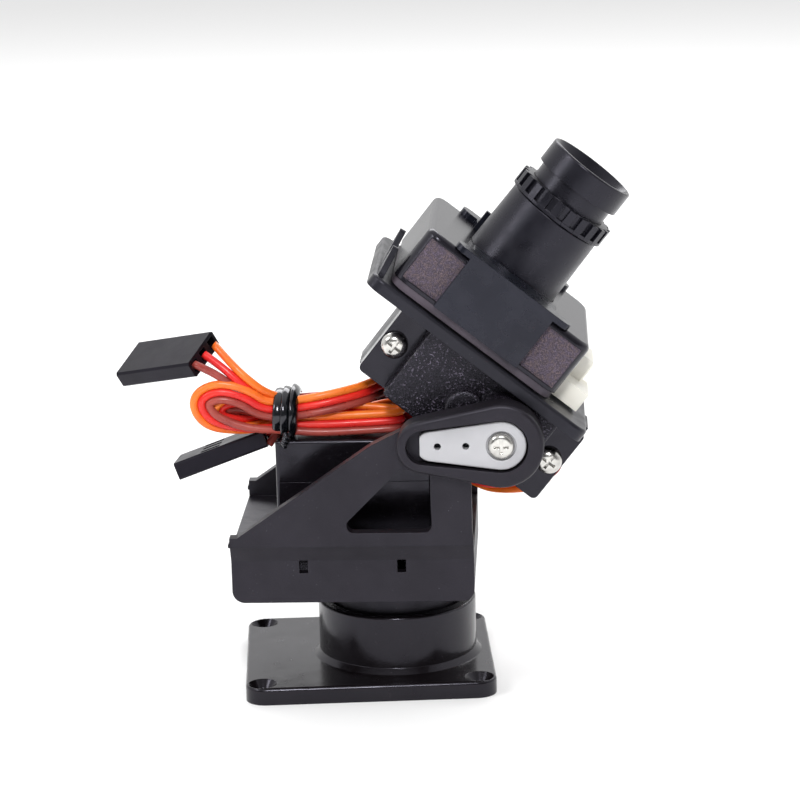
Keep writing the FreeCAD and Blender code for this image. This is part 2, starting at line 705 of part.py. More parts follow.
def far_half():
    half = yoke_half(1, FAR_INNER, FAR_OUTER)
    hub = rod_y(FAR_HUB_R, FAR_INNER, FAR_OUTER + FAR_HUB_OUT, TILT_AXIS_X, TILT_AXIS_Z)
    neck = tapered_slot(
        TILT_AXIS_X, TILT_AXIS_Z, FAR_HUB_R, STRUT_TOP[0] + 1, TILT_AXIS_Z - 0.5, 3.4, FAR_INNER, FAR_OUTER
    )
    half = joined(half, hub, neck)
    bore = rod_y(PIVOT_R + RUNNING_GAP, FAR_INNER - 1, FAR_OUTER + FAR_HUB_OUT + 1, TILT_AXIS_X, TILT_AXIS_Z)
    half = half.cut(bore)
    band_outer = FAR_OUTER - WALL_STEP
    for x, z in clamp_places():
        half = half.cut(rod_y(CLAMP_SCREW_R + SLIP_GAP, -1, band_outer + 1, x, z))
        half = half.cut(rod_y(CLAMP_HEAD_R + SLIP_GAP, band_outer - 1.5, band_outer + 1, x, z))
    return half


def clamp_screws():
    screw = pan_head_screw(CLAMP_HEAD_R, 1.3, CLAMP_SCREW_R - 0.1, 19.0)
    seat = FAR_OUTER - WALL_STEP - 1.5
    return group([laid(screw, vec(1, 0, 0), -90, vec(x, seat, z)) for x, z in clamp_places()])


def tilt_horn():
    """The single-armed horn, let into the near arm's outer face."""
    face = HORN_FACE - SLIP_GAP
    arm = tapered_slot(
        TILT_AXIS_X, TILT_AXIS_Z, HORN_HUB_R + 0.1, TILT_AXIS_X - HORN_REACH, TILT_AXIS_Z, HORN_TIP_R, face - HORN_THICK, face
    )
    arm = softened(arm, 0.25, wall_edges(arm, face - HORN_THICK))
    trimmed = box(-20, TILT_AXIS_X - HORN_REACH - HORN_TIP_R + 0.5, -30, 0, 0, 60)
    hub = rod_y(HORN_HUB_R, face - 0.2, NEAR_INNER - SLIP_GAP, TILT_AXIS_X, TILT_AXIS_Z)
    horn = joined(arm.cut(trimmed), hub)
    for x in HORN_HOLES:
        horn = horn.cut(rod_y(HORN_HOLE_R, -30, 0, TILT_AXIS_X + x, TILT_AXIS_Z))
    socket_foot = TILT_BOSS_END - SHAFT_OUT
    socket = rod_y(SHAFT_R, socket_foot, 0, TILT_AXIS_X, TILT_AXIS_Z)
    sink = rod_y(2.15, -30, HORN_SCREW_SEAT, TILT_AXIS_X, TILT_AXIS_Z)
    hole = rod_y(0.9, -30, 0, TILT_AXIS_X, TILT_AXIS_Z)
    return cut(horn, socket, sink, hole)


def tilt_horn_screw():
    return laid(horn_screw(), vec(1, 0, 0), 90, vec(TILT_AXIS_X, HORN_SCREW_SEAT, TILT_AXIS_Z))


# ---- head, in the head frame ----
def tilt_frame():
    """The plate under the camera, with the lugs behind the servo's tabs and the far pivot."""
    plate = rounded_box(
        PLATE_LEFT, PLATE_RIGHT, -PLATE_HALF_WIDTH, PLATE_HALF_WIDTH, PLATE_FOOT, PLATE_TOP, PLATE_CORNER_R
    )
    plate = softened(plate, 0.5, level_edges(plate, PLATE_TOP))
    case_left, case_right = SHAFT_FROM_END - CASE_LENGTH, SHAFT_FROM_END
    tab_left, tab_right = SERVO_MIDDLE - TAB_SPAN / 2, SERVO_MIDDLE + TAB_SPAN / 2
    tab_back = TILT_CASE_END - TAB_HEIGHT + RUNNING_GAP
    lug_foot = -CASE_WIDTH / 2 + 0.3
    lugs = [
        box(tab_left, case_left - SLIP_GAP, tab_back, tab_back + LUG_DEPTH, lug_foot, PLATE_FOOT + 0.5),
        box(case_right + SLIP_GAP, tab_right, tab_back, tab_back + LUG_DEPTH, lug_foot, PLATE_FOOT + 0.5),
    ]
    cradle_face = TILT_CASE_END + SLIP_GAP
    cradle = joined(
        box(case_left, 0, cradle_face, cradle_face + CRADLE_WALL, -FAR_HUB_R + 0.4, PLATE_FOOT + 0.5),
        rod_y(FAR_HUB_R, cradle_face, cradle_face + CRADLE_WALL, 0, 0),
        box(0, FAR_HUB_R, cradle_face, cradle_face + CRADLE_WALL, 0, PLATE_FOOT + 0.5),
    )
    pin = rod_y(PIVOT_R, cradle_face, FAR_OUTER + FAR_HUB_OUT + SLIP_GAP, 0, 0)
    frame = joined(plate, *lugs, cradle, pin)
    for y, rise in LEAVES:
        leaf = tapered_slot(0, 0, LEAF_ROOT_R, 0, rise - LEAF_TIP_R, LEAF_TIP_R, 0, LEAF_THICK)
        leaf = laid(leaf, vec(0, 0, 1), 90, vec(0, 0, 0))
        leaf = laid(leaf, vec(0, 1, 0), LEAF_TILT, vec(PLATE_LEFT + LEAF_THICK + 0.6, y, PLATE_TOP))
        frame = joined(frame, leaf.common(box(-60, 60, -30, 30, PLATE_FOOT, 60)))
    for side in (-1, 1):
        x = SERVO_MIDDLE + side * TAB_HOLE_GAP / 2
        frame = frame.cut(rod_y(TAB_SCREW_R, tab_back - 1, tab_back + 5.5, x, 0))
    return frame.cut(rod_y(0.8, FAR_INNER - 1, FAR_OUTER + 5, 0, 0))


def tab_screws():
    screw = pan_head_screw(1.95, 1.7, TAB_SCREW_R, 7.5)
    seat = TILT_CASE_END - GEAR_DECK
    places = [SERVO_MIDDLE - TAB_HOLE_GAP / 2, SERVO_MIDDLE + TAB_HOLE_GAP / 2]
    return group([laid(screw, vec(1, 0, 0), 90, vec(x, seat, 0)) for x in places])


def pivot_screw():
    screw = pan_head_screw(PIVOT_HEAD_R, 1.4, 0.8, 3.0, 0.6)
    return laid(screw, vec(1, 0, 0), -90, vec(0, FAR_OUTER + FAR_HUB_OUT + SLIP_GAP, 0))


def camera_block(w0, w1, inset, radius):
    left = CAMERA_CENTRE - CAMERA_LENGTH / 2 + inset
    right = CAMERA_CENTRE + CAMERA_LENGTH / 2 - inset
    half = CAMERA_WIDTH / 2 - inset
    return rounded_box(left, right, -half, half, w0, w1, radius)


def camera_pad():
    return camera_block(PLATE_TOP, COVER_FOOT, 2.0, CAMERA_CORNER_R)


def camera_back_cover():
    cover = camera_block(COVER_FOOT, COVER_TOP, 0.25, CAMERA_CORNER_R)
    lip = cut(
        camera_block(COVER_TOP - 0.2, COVER_TOP + 0.9, CAMERA_WALL + SLIP_GAP, 1.2),
        camera_block(COVER_TOP - 1, COVER_TOP + 2, CAMERA_WALL + 1.3, 0.8),
    )
    return joined(cover, lip)


def camera_housing():
    housing = camera_block(COVER_TOP, CAMERA_FRONT, 0, CAMERA_CORNER_R)
    housing = softened(housing, CAMERA_EDGE_R, level_edges(housing, CAMERA_FRONT))
    housing = housing.cut(camera_block(COVER_TOP - 1, CAMERA_FRONT - CAMERA_WALL, CAMERA_WALL, 0.8))
    mouth = rod_z(BARREL_R + SLIP_GAP, COVER_TOP, CAMERA_FRONT + 1, CAMERA_CENTRE)
    right = CAMERA_CENTRE + CAMERA_LENGTH / 2
    slot = box(right - 4, right + 1, SOCKET_Y0, SOCKET_Y1, COVER_TOP - 1, SOCKET_TOP)
    return cut(housing, mouth, slot, *side_panels())


def side_panels():
    """The shallow panels sunk into the housing's sides, beside the clips."""
    half = CAMERA_LENGTH / 2
    spans = [
        (CAMERA_CENTRE - half + PANEL_RIM, CAMERA_CENTRE - CLIP_WIDTH / 2),
        (CAMERA_CENTRE + CLIP_WIDTH / 2, CAMERA_CENTRE + half - PANEL_RIM),
    ]
    face = CAMERA_WIDTH / 2 - PANEL_DEPTH
    panels = []
    for left, right in spans:
        for y0, y1 in ((-face - 2, -face), (face, face + 2)):
            panels.append(box(left, right, y0, y1, COVER_TOP + 0.6, CAMERA_FRONT - PANEL_RIM))
    return panels


def camera_board():
    board = camera_block(BOARD_LEVEL, BOARD_LEVEL + BOARD_THICK, CAMERA_WALL + 0.4, 0.6)
    parts = [
        box(CAMERA_CENTRE + x, CAMERA_CENTRE + x + 2.4, y, y + 1.6, BOARD_LEVEL - 0.7, BOARD_LEVEL)
        for x in (-9, -3, 3)
        for y in (-8, 2, 7)
    ]
    return joined(board, *parts)


def image_sensor():
    top = BOARD_LEVEL + BOARD_THICK
    return joined(
        box(CAMERA_CENTRE - 4, CAMERA_CENTRE + 4, -4, 4, top, top + 0.9),
        box(CAMERA_CENTRE - 3, CAMERA_CENTRE + 3, -2.5, 2.5, top + 0.8, top + 1.2),
    )


def lens_holder():
    foot = BOARD_LEVEL + BOARD_THICK
    cone = cone_z(BARREL_R, BARREL_NOSE_R, CAMERA_FRONT, BARREL_TOP, CAMERA_CENTRE)
    cone = softened(cone, 0.3, level_edges(cone, BARREL_TOP))
    tube = rod_z(BARREL_R, foot, CAMERA_FRONT + 0.1, CAMERA_CENTRE)
    holder = joined(cone, tube)
    return holder.cut(rod_z(THREAD_R + RUNNING_GAP, foot - 1, BARREL_TOP + 1, CAMERA_CENTRE))


def camera_clip(side):
    """One of the two smooth clips over the camera's sides, with a rounded lip on its front."""
    face = CAMERA_WIDTH / 2
    outer = face + CLIP_THICK
    y0, y1 = sorted((side * face, side * outer))
    left, right = CAMERA_CENTRE - CLIP_WIDTH / 2, CAMERA_CENTRE + CLIP_WIDTH / 2
    top = CAMERA_FRONT + CLIP_THICK + 0.2
    strap = box(left, right, y0, y1, COVER_TOP, top)
    l0, l1 = sorted((side * (outer - CLIP_LIP), side * outer))
    lip = rounded_box(left - CLIP_EAR, right + CLIP_EAR, l0, l1, CAMERA_FRONT, top, CLIP_LIP * 0.45)
    p0, p1 = sorted((side * (outer - CLIP_REACH), side * outer))
    clip = joined(strap, lip, box(left, right, p0, p1, CAMERA_FRONT, top))
    if side > 0:
        long, wide, tall = PRONG_SIZE
        for x in (left, right - long):
            y = outer - CLIP_REACH
            clip = joined(clip, box(x, x + long, y, y + wide, CAMERA_FRONT, top + tall))
    return clip.cut(rod_z(BARREL_R + SLIP_GAP, COVER_TOP, CAMERA_FRONT + 5, CAMERA_CENTRE))


def camera_socket():
    """The pale socket that stands out of the housing's end, open towards its plug."""
    right = CAMERA_CENTRE + CAMERA_LENGTH / 2
    body = box(right - CAMERA_WALL, right + SOCKET_OUT, SOCKET_Y0, SOCKET_Y1, COVER_TOP, SOCKET_TOP)
    lip = box(right, right + SOCKET_OUT, SOCKET_Y0, SOCKET_Y1, COVER_FOOT + 0.2, COVER_TOP + 0.1)
    return joined(body, lip)


def side_plug():
    """The dark plug beside the socket, against the housing's end."""
    right = CAMERA_CENTRE + CAMERA_LENGTH / 2
    block = box(right, right + SIDE_PLUG_OUT, SIDE_PLUG_Y0, SIDE_PLUG_Y1, SOCKET_TOP, SIDE_PLUG_TOP)
    return block.makeChamfer(0.3, [e for e in block.Edges if e.BoundBox.XMin > right + SIDE_PLUG_OUT - 0.01])


def lens_barrel():
    neck = rod_z(THREAD_R, BOARD_LEVEL + BOARD_THICK + 2.6, LENS_HEAD_FOOT + 0.1, CAMERA_CENTRE)
    head = rod_z(LENS_HEAD_R, LENS_HEAD_FOOT, LENS_HEAD_TOP, CAMERA_CENTRE)
    head = softened(head, 0.3, level_edges(head, LENS_HEAD_TOP))
    barrel = joined(neck, head)
    mouth = cone_z(LENS_BORE_R, LENS_MOUTH_R, LENS_HEAD_TOP - LENS_MOUTH_DEPTH, LENS_HEAD_TOP, CAMERA_CENTRE)
    return cut(barrel, mouth, rod_z(LENS_BORE_R, 0, LENS_HEAD_TOP - 1, CAMERA_CENTRE))


def lens_elements():
    """The front and rear glass, which slide with the barrel as it is focused."""
    glass_r = LENS_BORE_R - RUNNING_GAP
    top = LENS_HEAD_TOP - LENS_MOUTH_DEPTH - SLIP_GAP
    front = rod_z(glass_r, top - 2.2, top, CAMERA_CENTRE)
    dome_r = 8.0
    dome = Part.makeSphere(dome_r, vec(CAMERA_CENTRE, 0, top + 0.4 - dome_r))
    front = front.common(dome)
    rear = rod_z(glass_r, BOARD_LEVEL + 6.4, BOARD_LEVEL + 8.4, CAMERA_CENTRE)
    sleeve = cut(
        rod_z(glass_r, BOARD_LEVEL + 8.0, top - 2.0, CAMERA_CENTRE),
        rod_z(glass_r - 0.7, BOARD_LEVEL + 7.0, top, CAMERA_CENTRE),
    )
    return joined(front, rear, sleeve)


def lock_ring():
    ring = rod_z(LOCK_RING_R, BARREL_TOP + SLIP_GAP, LOCK_RING_TOP, CAMERA_CENTRE)
    ring = softened(ring, 0.3, level_edges(ring, LOCK_RING_TOP))
    ring = ring.cut(rod_z(THREAD_R + RUNNING_GAP, BARREL_TOP - 1, LOCK_RING_TOP + 1, CAMERA_CENTRE))
    half = LOCK_RING_NOTCH / 2
    for i in range(LOCK_RING_NOTCHES):
        notch = box(LOCK_RING_R - 0.6, LOCK_RING_R + 1, -half, half, BARREL_TOP + LOCK_RING_RIM, LOCK_RING_TOP + 1)
        ring = ring.cut(laid(notch, vec(0, 0, 1), 360 / LOCK_RING_NOTCHES * i, vec(CAMERA_CENTRE, 0, 0)))
    return ring


# ---- leads, in the yoke frame ----
# The tilt servo's lead drops out of the case, loops under it and runs back beside the pan servo.
TILT_SLACK = [
    (21.25, 7.0, 34.58),
    (23.76, 7.0, 32.59),
    (24.3, 7.7, 28.9),
    (21.8, 8.7, 25.9),
    (17.2, 9.65, 25.3),
]
TILT_RUN = [
    (17.2, 9.65, 25.3),
    (12.6, 10.6, 24.7),
    (7.4, 10.8, 27.6),
    (3.6, 10.9, 32.4),
    (1.2, 10.9, 37.4),
    (-1.4, 7.2, 40.6),
    (-4.0, 0.6, 41.8),
    (-6.6, -3.6, 41.3),
]
# The pan servo's lead turns round the case corner and joins the other above the case.
PAN_RUN = [
    (6.45, 0.0, 31.9),
    (7.9, 0.0, 31.9),
    (8.7, 1.3, 31.3),
    (8.8, 4.0, 30.5),
    (7.7, CASE_WIDTH / 2 + 1.2, 31.1),
    (4.4, CASE_WIDTH / 2 + 2.2, 34.2),
    (0.3, CASE_WIDTH / 2 + 0.7, 37.9),
    (-3.8, 1.6, 38.2),
    (-6.4, -3.0, 38.6),
]
# From the hank to each plug.
TILT_TAIL = [(-18.6, -5.2, 41.9), (-21.6, -5.8, 44.6), (-24.2, -5.4, 47.4), (-26.9, -4.4, 49.1)]
PAN_TAIL = [(-18.7, -1.3, 39.2), (-18.2, -0.8, 37.6), (-18.5, -0.4, 36.0)]

# Each plug's middle, the way its wires leave it and the way across it.
TILT_PLUG = ((-32.7, -0.8, 47.6), (0.826, -0.519, 0.221), (-0.383, -0.803, -0.456))
PAN_PLUG = ((-25.0, -0.4, 33.5), (0.937, 0.0, 0.35), (0.03, 0.995, -0.08))


def cord_path(points):
    """Straight runs joined by tangent arcs, each as large as its two runs allow."""
    spots = [vec(*p) for p in points]
    edges, radii, start = [], [], spots[0]
    for before, at, after in zip(spots, spots[1:], spots[2:]):
        arrive, leave = at.sub(before), after.sub(at)
        shorter = min(arrive.Length, leave.Length)
        arrive.normalize()
        leave.normalize()
        half = arrive.getAngle(leave) / 2
        radius = 0.45 * shorter / math.tan(half)
        back = 0.45 * shorter
        lean = leave.sub(arrive)
        lean.normalize()
        first, last = at.sub(arrive * back), at.add(leave * back)
        middle = at.add(lean * (radius / math.cos(half) - radius))
        edges.append(Part.LineSegment(start, first).toShape())
        edges.append(Part.Arc(first, middle, last).toShape())
        radii.append(radius)
        start = last
    edges.append(Part.LineSegment(start, spots[-1]).toShape())
    return Part.Wire(edges), radii


def cord_tube(name, points):
    path, radii = cord_path(points)
    way = vec(*points[1]).sub(vec(*points[0]))
    circle = Part.Wire([Part.Circle(vec(*points[0]), way, LEAD_D / 2).toShape()])
    tube = path.makePipeShell([circle], True, False)
    share = tube.Volume / (math.pi * LEAD_D**2 / 4 * path.Length)
    shown = ", ".join(f"{r:.1f}" for r in radii)
    print(f"{name}: length {path.Length:.1f}, volume share {share:.3f}, radii {shown}")
    return tube


def lead_hank():
    """The folded middle of both leads, as one solid of its outer shape."""
    y0, y1 = HANK_MIDDLE - HANK_DEPTH / 2, HANK_MIDDLE + HANK_DEPTH / 2
    loop = tapered_slot(*HANK_LOOP, *HANK_WAIST, y0, y1)
    tail = tapered_slot(*HANK_WAIST, *HANK_END, y0, y1)
    return joined(loop, tail)


def lead_tie():
    """Two turns of a wired tie round the hank, with its twisted ends."""
    y0, y1 = HANK_MIDDLE - HANK_DEPTH / 2, HANK_MIDDLE + HANK_DEPTH / 2
    x, z, r = HANK_WAIST
    tall = r + 0.25
    turns = []
    for shift in (-1.1, 1.1):
        left, right = x + shift - TIE_WIDTH / 2, x + shift + TIE_WIDTH / 2
        outer = [
            vec(left, y0 - TIE_THICK, z - tall - TIE_THICK),
            vec(left, y1 + TIE_THICK, z - tall - TIE_THICK),
            vec(left, y1 + TIE_THICK, z + tall + TIE_THICK),
            vec(left, y0 - TIE_THICK, z + tall + TIE_THICK),
        ]
        turns.append(Part.Face(rounded_loop(outer, 1.6)).extrude(vec(right - left, 0, 0)))
    band = joined(*turns, box(x - 1.0, x + 1.0, y0 - TIE_THICK, y0 - 0.1, z - 1.5, z + 1.5))
    ends = rod(0.5, vec(x - 0.4, y0 - 0.4, z - 2.2), vec(x + 2.0, y0 - 0.9, z - 2.3))
    return joined(band.cut(lead_hank()), ends).cut(lead_hank())


def plug_frame(shape, plug):
    """From a plug's own frame: x towards the wires, y across, z through."""
    middle, along, across = plug
    x_way = vec(*along).normalize()
    z_way = x_way.cross(vec(*across)).normalize()
    y_way = z_way.cross(x_way)
    turn = FreeCAD.Matrix(
        x_way.x, y_way.x, z_way.x, middle[0],
        x_way.y, y_way.y, z_way.y, middle[1],
        x_way.z, y_way.z, z_way.z, middle[2],
        0, 0, 0, 1,
    )
    shape = shape.copy()
    shape.Placement = FreeCAD.Placement(turn).multiply(shape.Placement)
    return shape


def plug_body():
    body = box(-PLUG_LENGTH / 2, PLUG_LENGTH / 2, -PLUG_WIDTH / 2, PLUG_WIDTH / 2, -PLUG_THICK / 2, PLUG_THICK / 2)
    body = body.makeChamfer(0.3, [e for e in body.Edges if abs(e.BoundBox.XLength - PLUG_LENGTH) < 1e-6])
    for i in (-1, 0, 1):
        y = i * PIN_PITCH
        body = body.cut(box(-PLUG_LENGTH, PLUG_LENGTH / 2 - 2.2, y - 0.6, y + 0.6, -0.6, 0.6))
        body = body.cut(box(PLUG_LENGTH / 2 - 2.3, PLUG_LENGTH, y - 0.75, y + 0.75, -0.75, 0.75))
        body = body.cut(box(-2.8, 0.2, y - 0.6, y + 0.6, 0, 5))
    return body


def plug_contacts():
    pins = []
    for i in (-1, 0, 1):
        y = i * PIN_PITCH
        pin = cut(
            box(-PLUG_LENGTH / 2 + 1.2, PLUG_LENGTH / 2 - 2.4, y - 0.55, y + 0.55, -0.55, 0.55),
            box(-PLUG_LENGTH, -1.5, y - 0.35, y + 0.35, -0.35, 0.35),
        )
        pins.append(pin)
    return pins


# ---- every piece, by name, in the row frame ----
def row_pieces():
    pieces = {
        "base_plate": base_plate(),
        "pan_horn": pan_horn(),
        "base_horn_screws": base_horn_screws(),
        "pan_horn_screw": laid(horn_screw(), vec(1, 0, 0), 180, vec(PAN_AXIS_X, 0, PAN_BOSS_END - SHAFT_OUT - 0.9)),
        "yoke_near_half": yoke_to_row(near_half()),
        "yoke_far_half": yoke_to_row(far_half()),
        "yoke_clamp_screws": yoke_to_row(clamp_screws()),
        "tilt_horn": yoke_to_row(tilt_horn()),
        "tilt_horn_screw": yoke_to_row(tilt_horn_screw()),
    }
    servo_makers = {
        "bottom_cover": servo_bottom_cover,
        "case": servo_case,
        "gear_cap": servo_gear_cap,
        "case_screws": servo_case_screws,
        "motor": servo_motor,
        "circuit": servo_circuit,
        "potentiometer": servo_potentiometer,
        "lead_grommet": servo_lead_grommet,
        "output_shaft": servo_output_shaft,
    }
    for name, make in servo_makers.items():
        piece = make()
        pieces["pan_servo_" + name] = pan_servo_to_row(piece)
        pieces["tilt_servo_" + name] = head_to_row(tilt_servo_to_head(piece))
    head_makers = {
        "tilt_frame": tilt_frame,
        "servo_tab_screws": tab_screws,
        "far_pivot_screw": pivot_screw,
        "camera_pad": camera_pad,
        "camera_back_cover": camera_back_cover,
        "camera_housing": camera_housing,
        "camera_board": camera_board,
        "image_sensor": image_sensor,
        "lens_holder": lens_holder,
        "camera_socket": camera_socket,
        "camera_side_plug": side_plug,
        "lens_barrel": lens_barrel,
        "lens_elements": lens_elements,
        "lens_lock_ring": lock_ring,
    }
    for name, make in head_makers.items():
        pieces[name] = head_to_row(make())
    pieces["camera_clip_near"] = head_to_row(camera_clip(-1))
    pieces["camera_clip_far"] = head_to_row(camera_clip(1))
    routes = {
        "tilt_lead_slack": TILT_SLACK,
        "tilt_lead_run": TILT_RUN,
        "tilt_lead_tail": TILT_TAIL,
        "pan_lead_run": PAN_RUN,
        "pan_lead_tail": PAN_TAIL,
    }
    for name, points in routes.items():
        pieces[name] = yoke_to_row(cord_tube(name, points))
    pieces["lead_hank"] = yoke_to_row(lead_hank())
    pieces["lead_tie"] = yoke_to_row(lead_tie())
    pieces["tilt_lead_plug"] = yoke_to_row(plug_frame(plug_body(), TILT_PLUG))
    pieces["pan_lead_plug"] = yoke_to_row(plug_frame(plug_body(), PAN_PLUG))
    contacts = [plug_frame(pin, plug) for plug in (TILT_PLUG, PAN_PLUG) for pin in plug_contacts()]
    pieces["plug_contacts"] = yoke_to_row(group(contacts))
    return pieces


os.makedirs("parts", exist_ok=True)
for name, shape in row_pieces().items():
    shape.exportStep(os.path.join("parts", name + ".step"))
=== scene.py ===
"""Pan and tilt camera mount: finishes, leads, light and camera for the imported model."""

import json
import math

import bmesh
import bpy
from mathutils import Matrix, Vector


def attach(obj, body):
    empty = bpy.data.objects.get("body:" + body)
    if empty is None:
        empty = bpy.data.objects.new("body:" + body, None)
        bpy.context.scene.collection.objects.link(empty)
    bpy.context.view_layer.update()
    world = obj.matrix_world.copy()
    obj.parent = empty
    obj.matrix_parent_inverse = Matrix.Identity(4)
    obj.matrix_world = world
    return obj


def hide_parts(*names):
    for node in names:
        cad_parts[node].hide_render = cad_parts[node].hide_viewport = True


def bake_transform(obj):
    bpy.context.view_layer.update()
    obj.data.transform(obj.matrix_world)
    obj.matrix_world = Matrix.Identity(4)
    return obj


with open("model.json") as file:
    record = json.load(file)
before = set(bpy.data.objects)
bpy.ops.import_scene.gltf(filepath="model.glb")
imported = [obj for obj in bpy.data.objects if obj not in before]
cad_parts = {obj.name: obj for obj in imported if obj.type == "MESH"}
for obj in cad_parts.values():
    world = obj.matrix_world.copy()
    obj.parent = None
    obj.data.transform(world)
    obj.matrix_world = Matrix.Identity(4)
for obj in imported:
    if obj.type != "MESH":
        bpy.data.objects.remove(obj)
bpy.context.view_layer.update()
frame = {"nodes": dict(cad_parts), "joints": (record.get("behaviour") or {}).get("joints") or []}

MM = 0.001
NODES = frame["nodes"]
JOINTS = {joint["name"]: joint for joint in frame["joints"]}


# ---- the yoke's and the head's own frames, from the joints ----
def basis(x_way, y_way, z_way, origin):
    """A matrix from a frame's own x, y and z to the row's."""
    turn = Matrix((x_way, y_way, z_way)).transposed().to_4x4()
    return Matrix.Translation(origin) @ turn


UP = Vector((0, 0, 1))
PAN_POINT = Vector(JOINTS["pan"]["pos_m"])
TILT_POINT = Vector(JOINTS["tilt"]["pos_m"])
TILT_WAY = Vector(JOINTS["tilt"]["axis"]).normalized()
LENS_WAY = Vector(JOINTS["focus_slide"]["axis"]).normalized()

YOKE = basis(TILT_WAY.cross(UP), TILT_WAY, UP, PAN_POINT)
HEAD = basis(TILT_WAY.cross(LENS_WAY), TILT_WAY, LENS_WAY, TILT_POINT)


# ---- camera ----
CAMERA_AT = Vector((-0.00685, -0.42680, 0.14810))
CAMERA_YAW = math.radians(1.669)
CAMERA_DIP = math.radians(14.114)
CAMERA_ROLL = math.radians(1.446)
CAMERA_LENS_MM = 135.0


def add_camera():
    ahead = Vector(
        (
            math.sin(CAMERA_YAW) * math.cos(CAMERA_DIP),
            math.cos(CAMERA_YAW) * math.cos(CAMERA_DIP),
            -math.sin(CAMERA_DIP),
        )
    )
    right = Vector((math.cos(CAMERA_YAW), -math.sin(CAMERA_YAW), 0))
    above = right.cross(ahead)
    roll, tilt = math.cos(CAMERA_ROLL), math.sin(CAMERA_ROLL)
    data = bpy.data.cameras.new("camera")
    data.lens = CAMERA_LENS_MM
    data.sensor_width = 36.0
    data.clip_start = 0.01
    data.dof.use_dof = False
    camera = bpy.data.objects.new("camera", data)
    camera.matrix_world = basis(
        right * roll - above * tilt, right * tilt + above * roll, -ahead, CAMERA_AT
    )
    bpy.context.scene.collection.objects.link(camera)
    bpy.context.scene.camera = camera


add_camera()


# ---- materials ----
PANEL_FACE = 13.6 * MM
SHEEN_TINT = (0.86, 0.84, 1.0, 1.0)


def tone(red, green, blue):
    """A colour given in display values of 0 to 255, as the shader wants it."""
    parts = []
    for part in (red, green, blue):
        share = part / 255
        parts.append(share / 12.92 if share <= 0.04045 else ((share + 0.055) / 1.055) ** 2.4)
    return (*parts, 1.0)


class Finish:
    """One procedural material: a Principled shader and the patterns that feed it."""

    def __init__(self, name):
        self.material = bpy.data.materials.new(name)
        self.material.use_nodes = True
        self.tree = self.material.node_tree
        self.tree.nodes.clear()
        self.out = self.tree.nodes.new("ShaderNodeOutputMaterial")
        self.shader = self.tree.nodes.new("ShaderNodeBsdfPrincipled")
        self.link(self.shader.outputs["BSDF"], self.out.inputs["Surface"])
        where = self.tree.nodes.new("ShaderNodeTexCoord")
        self.place = where.outputs["Object"]
        self.facing = where.outputs["Normal"]

    def link(self, source, target):
        self.tree.links.new(source, target)

    def set(self, **values):
        for name, value in values.items():
            self.shader.inputs[name.replace("_", " ")].default_value = value

    def noise(self, size, detail=3.0, roughness=0.5, distortion=0.0):
        """Noise whose features are about `size` metres across."""
        node = self.tree.nodes.new("ShaderNodeTexNoise")
        node.inputs["Scale"].default_value = 1 / size
        node.inputs["Detail"].default_value = detail
        node.inputs["Roughness"].default_value = roughness
        node.inputs["Distortion"].default_value = distortion
        self.link(self.place, node.inputs["Vector"])
        return node.outputs["Fac"]

    def cells(self, size, feature="F1"):
        node = self.tree.nodes.new("ShaderNodeTexVoronoi")
        node.feature = feature
        node.inputs["Scale"].default_value = 1 / size
        self.link(self.place, node.inputs["Vector"])
        return node.outputs["Distance"]

    def spread(self, source, low, high, to_low=0.0, to_high=1.0):
        node = self.tree.nodes.new("ShaderNodeMapRange")
        node.inputs["From Min"].default_value = low
        node.inputs["From Max"].default_value = high
        node.inputs["To Min"].default_value = to_low
        node.inputs["To Max"].default_value = to_high
        self.link(source, node.inputs["Value"])
        return node.outputs["Result"]

    def mix(self, share, first, second):
        node = self.tree.nodes.new("ShaderNodeMix")
        node.data_type = "RGBA"
        self.link(share, node.inputs["Factor"])
        for socket, value in ((node.inputs[6], first), (node.inputs[7], second)):
            if isinstance(value, tuple):
                socket.default_value = value
            else:
                self.link(value, socket)
        return node.outputs[2]

    def times(self, first, second):
        node = self.tree.nodes.new("ShaderNodeMath")
        node.operation = "MULTIPLY"
        self.link(first, node.inputs[0])
        self.link(second, node.inputs[1])
        return node.outputs[0]

    def along(self, source, way, start):
        """How far a place or a normal goes along `way` from `start`, with no sign."""
        shift = self.tree.nodes.new("ShaderNodeVectorMath")
        shift.operation = "SUBTRACT"
        shift.inputs[1].default_value = start
        self.link(source, shift.inputs[0])
        reach = self.tree.nodes.new("ShaderNodeVectorMath")
        reach.operation = "DOT_PRODUCT"
        reach.inputs[1].default_value = way
        self.link(shift.outputs["Vector"], reach.inputs[0])
        size = self.tree.nodes.new("ShaderNodeMath")
        size.operation = "ABSOLUTE"
        self.link(reach.outputs["Value"], size.inputs[0])
        return size.outputs[0]

    def colour(self, source):
        self.link(source, self.shader.inputs["Base Color"])

    def roughness(self, source):
        self.link(source, self.shader.inputs["Roughness"])

    def relief(self, source, height, base=None):
        node = self.tree.nodes.new("ShaderNodeBump")
        node.inputs["Distance"].default_value = height
        self.link(source, node.inputs["Height"])
        if base is not None:
            self.link(base, node.inputs["Normal"])
        self.link(node.outputs["Normal"], self.shader.inputs["Normal"])
        return node.outputs["Normal"]

    def eased_edges(self, radius):
        """Edges that catch the light as if rounded by `radius` metres."""
        node = self.tree.nodes.new("ShaderNodeBevel")
        node.samples = 6
        node.inputs["Radius"].default_value = radius
        self.link(node.outputs["Normal"], self.shader.inputs["Normal"])
        return node.outputs["Normal"]


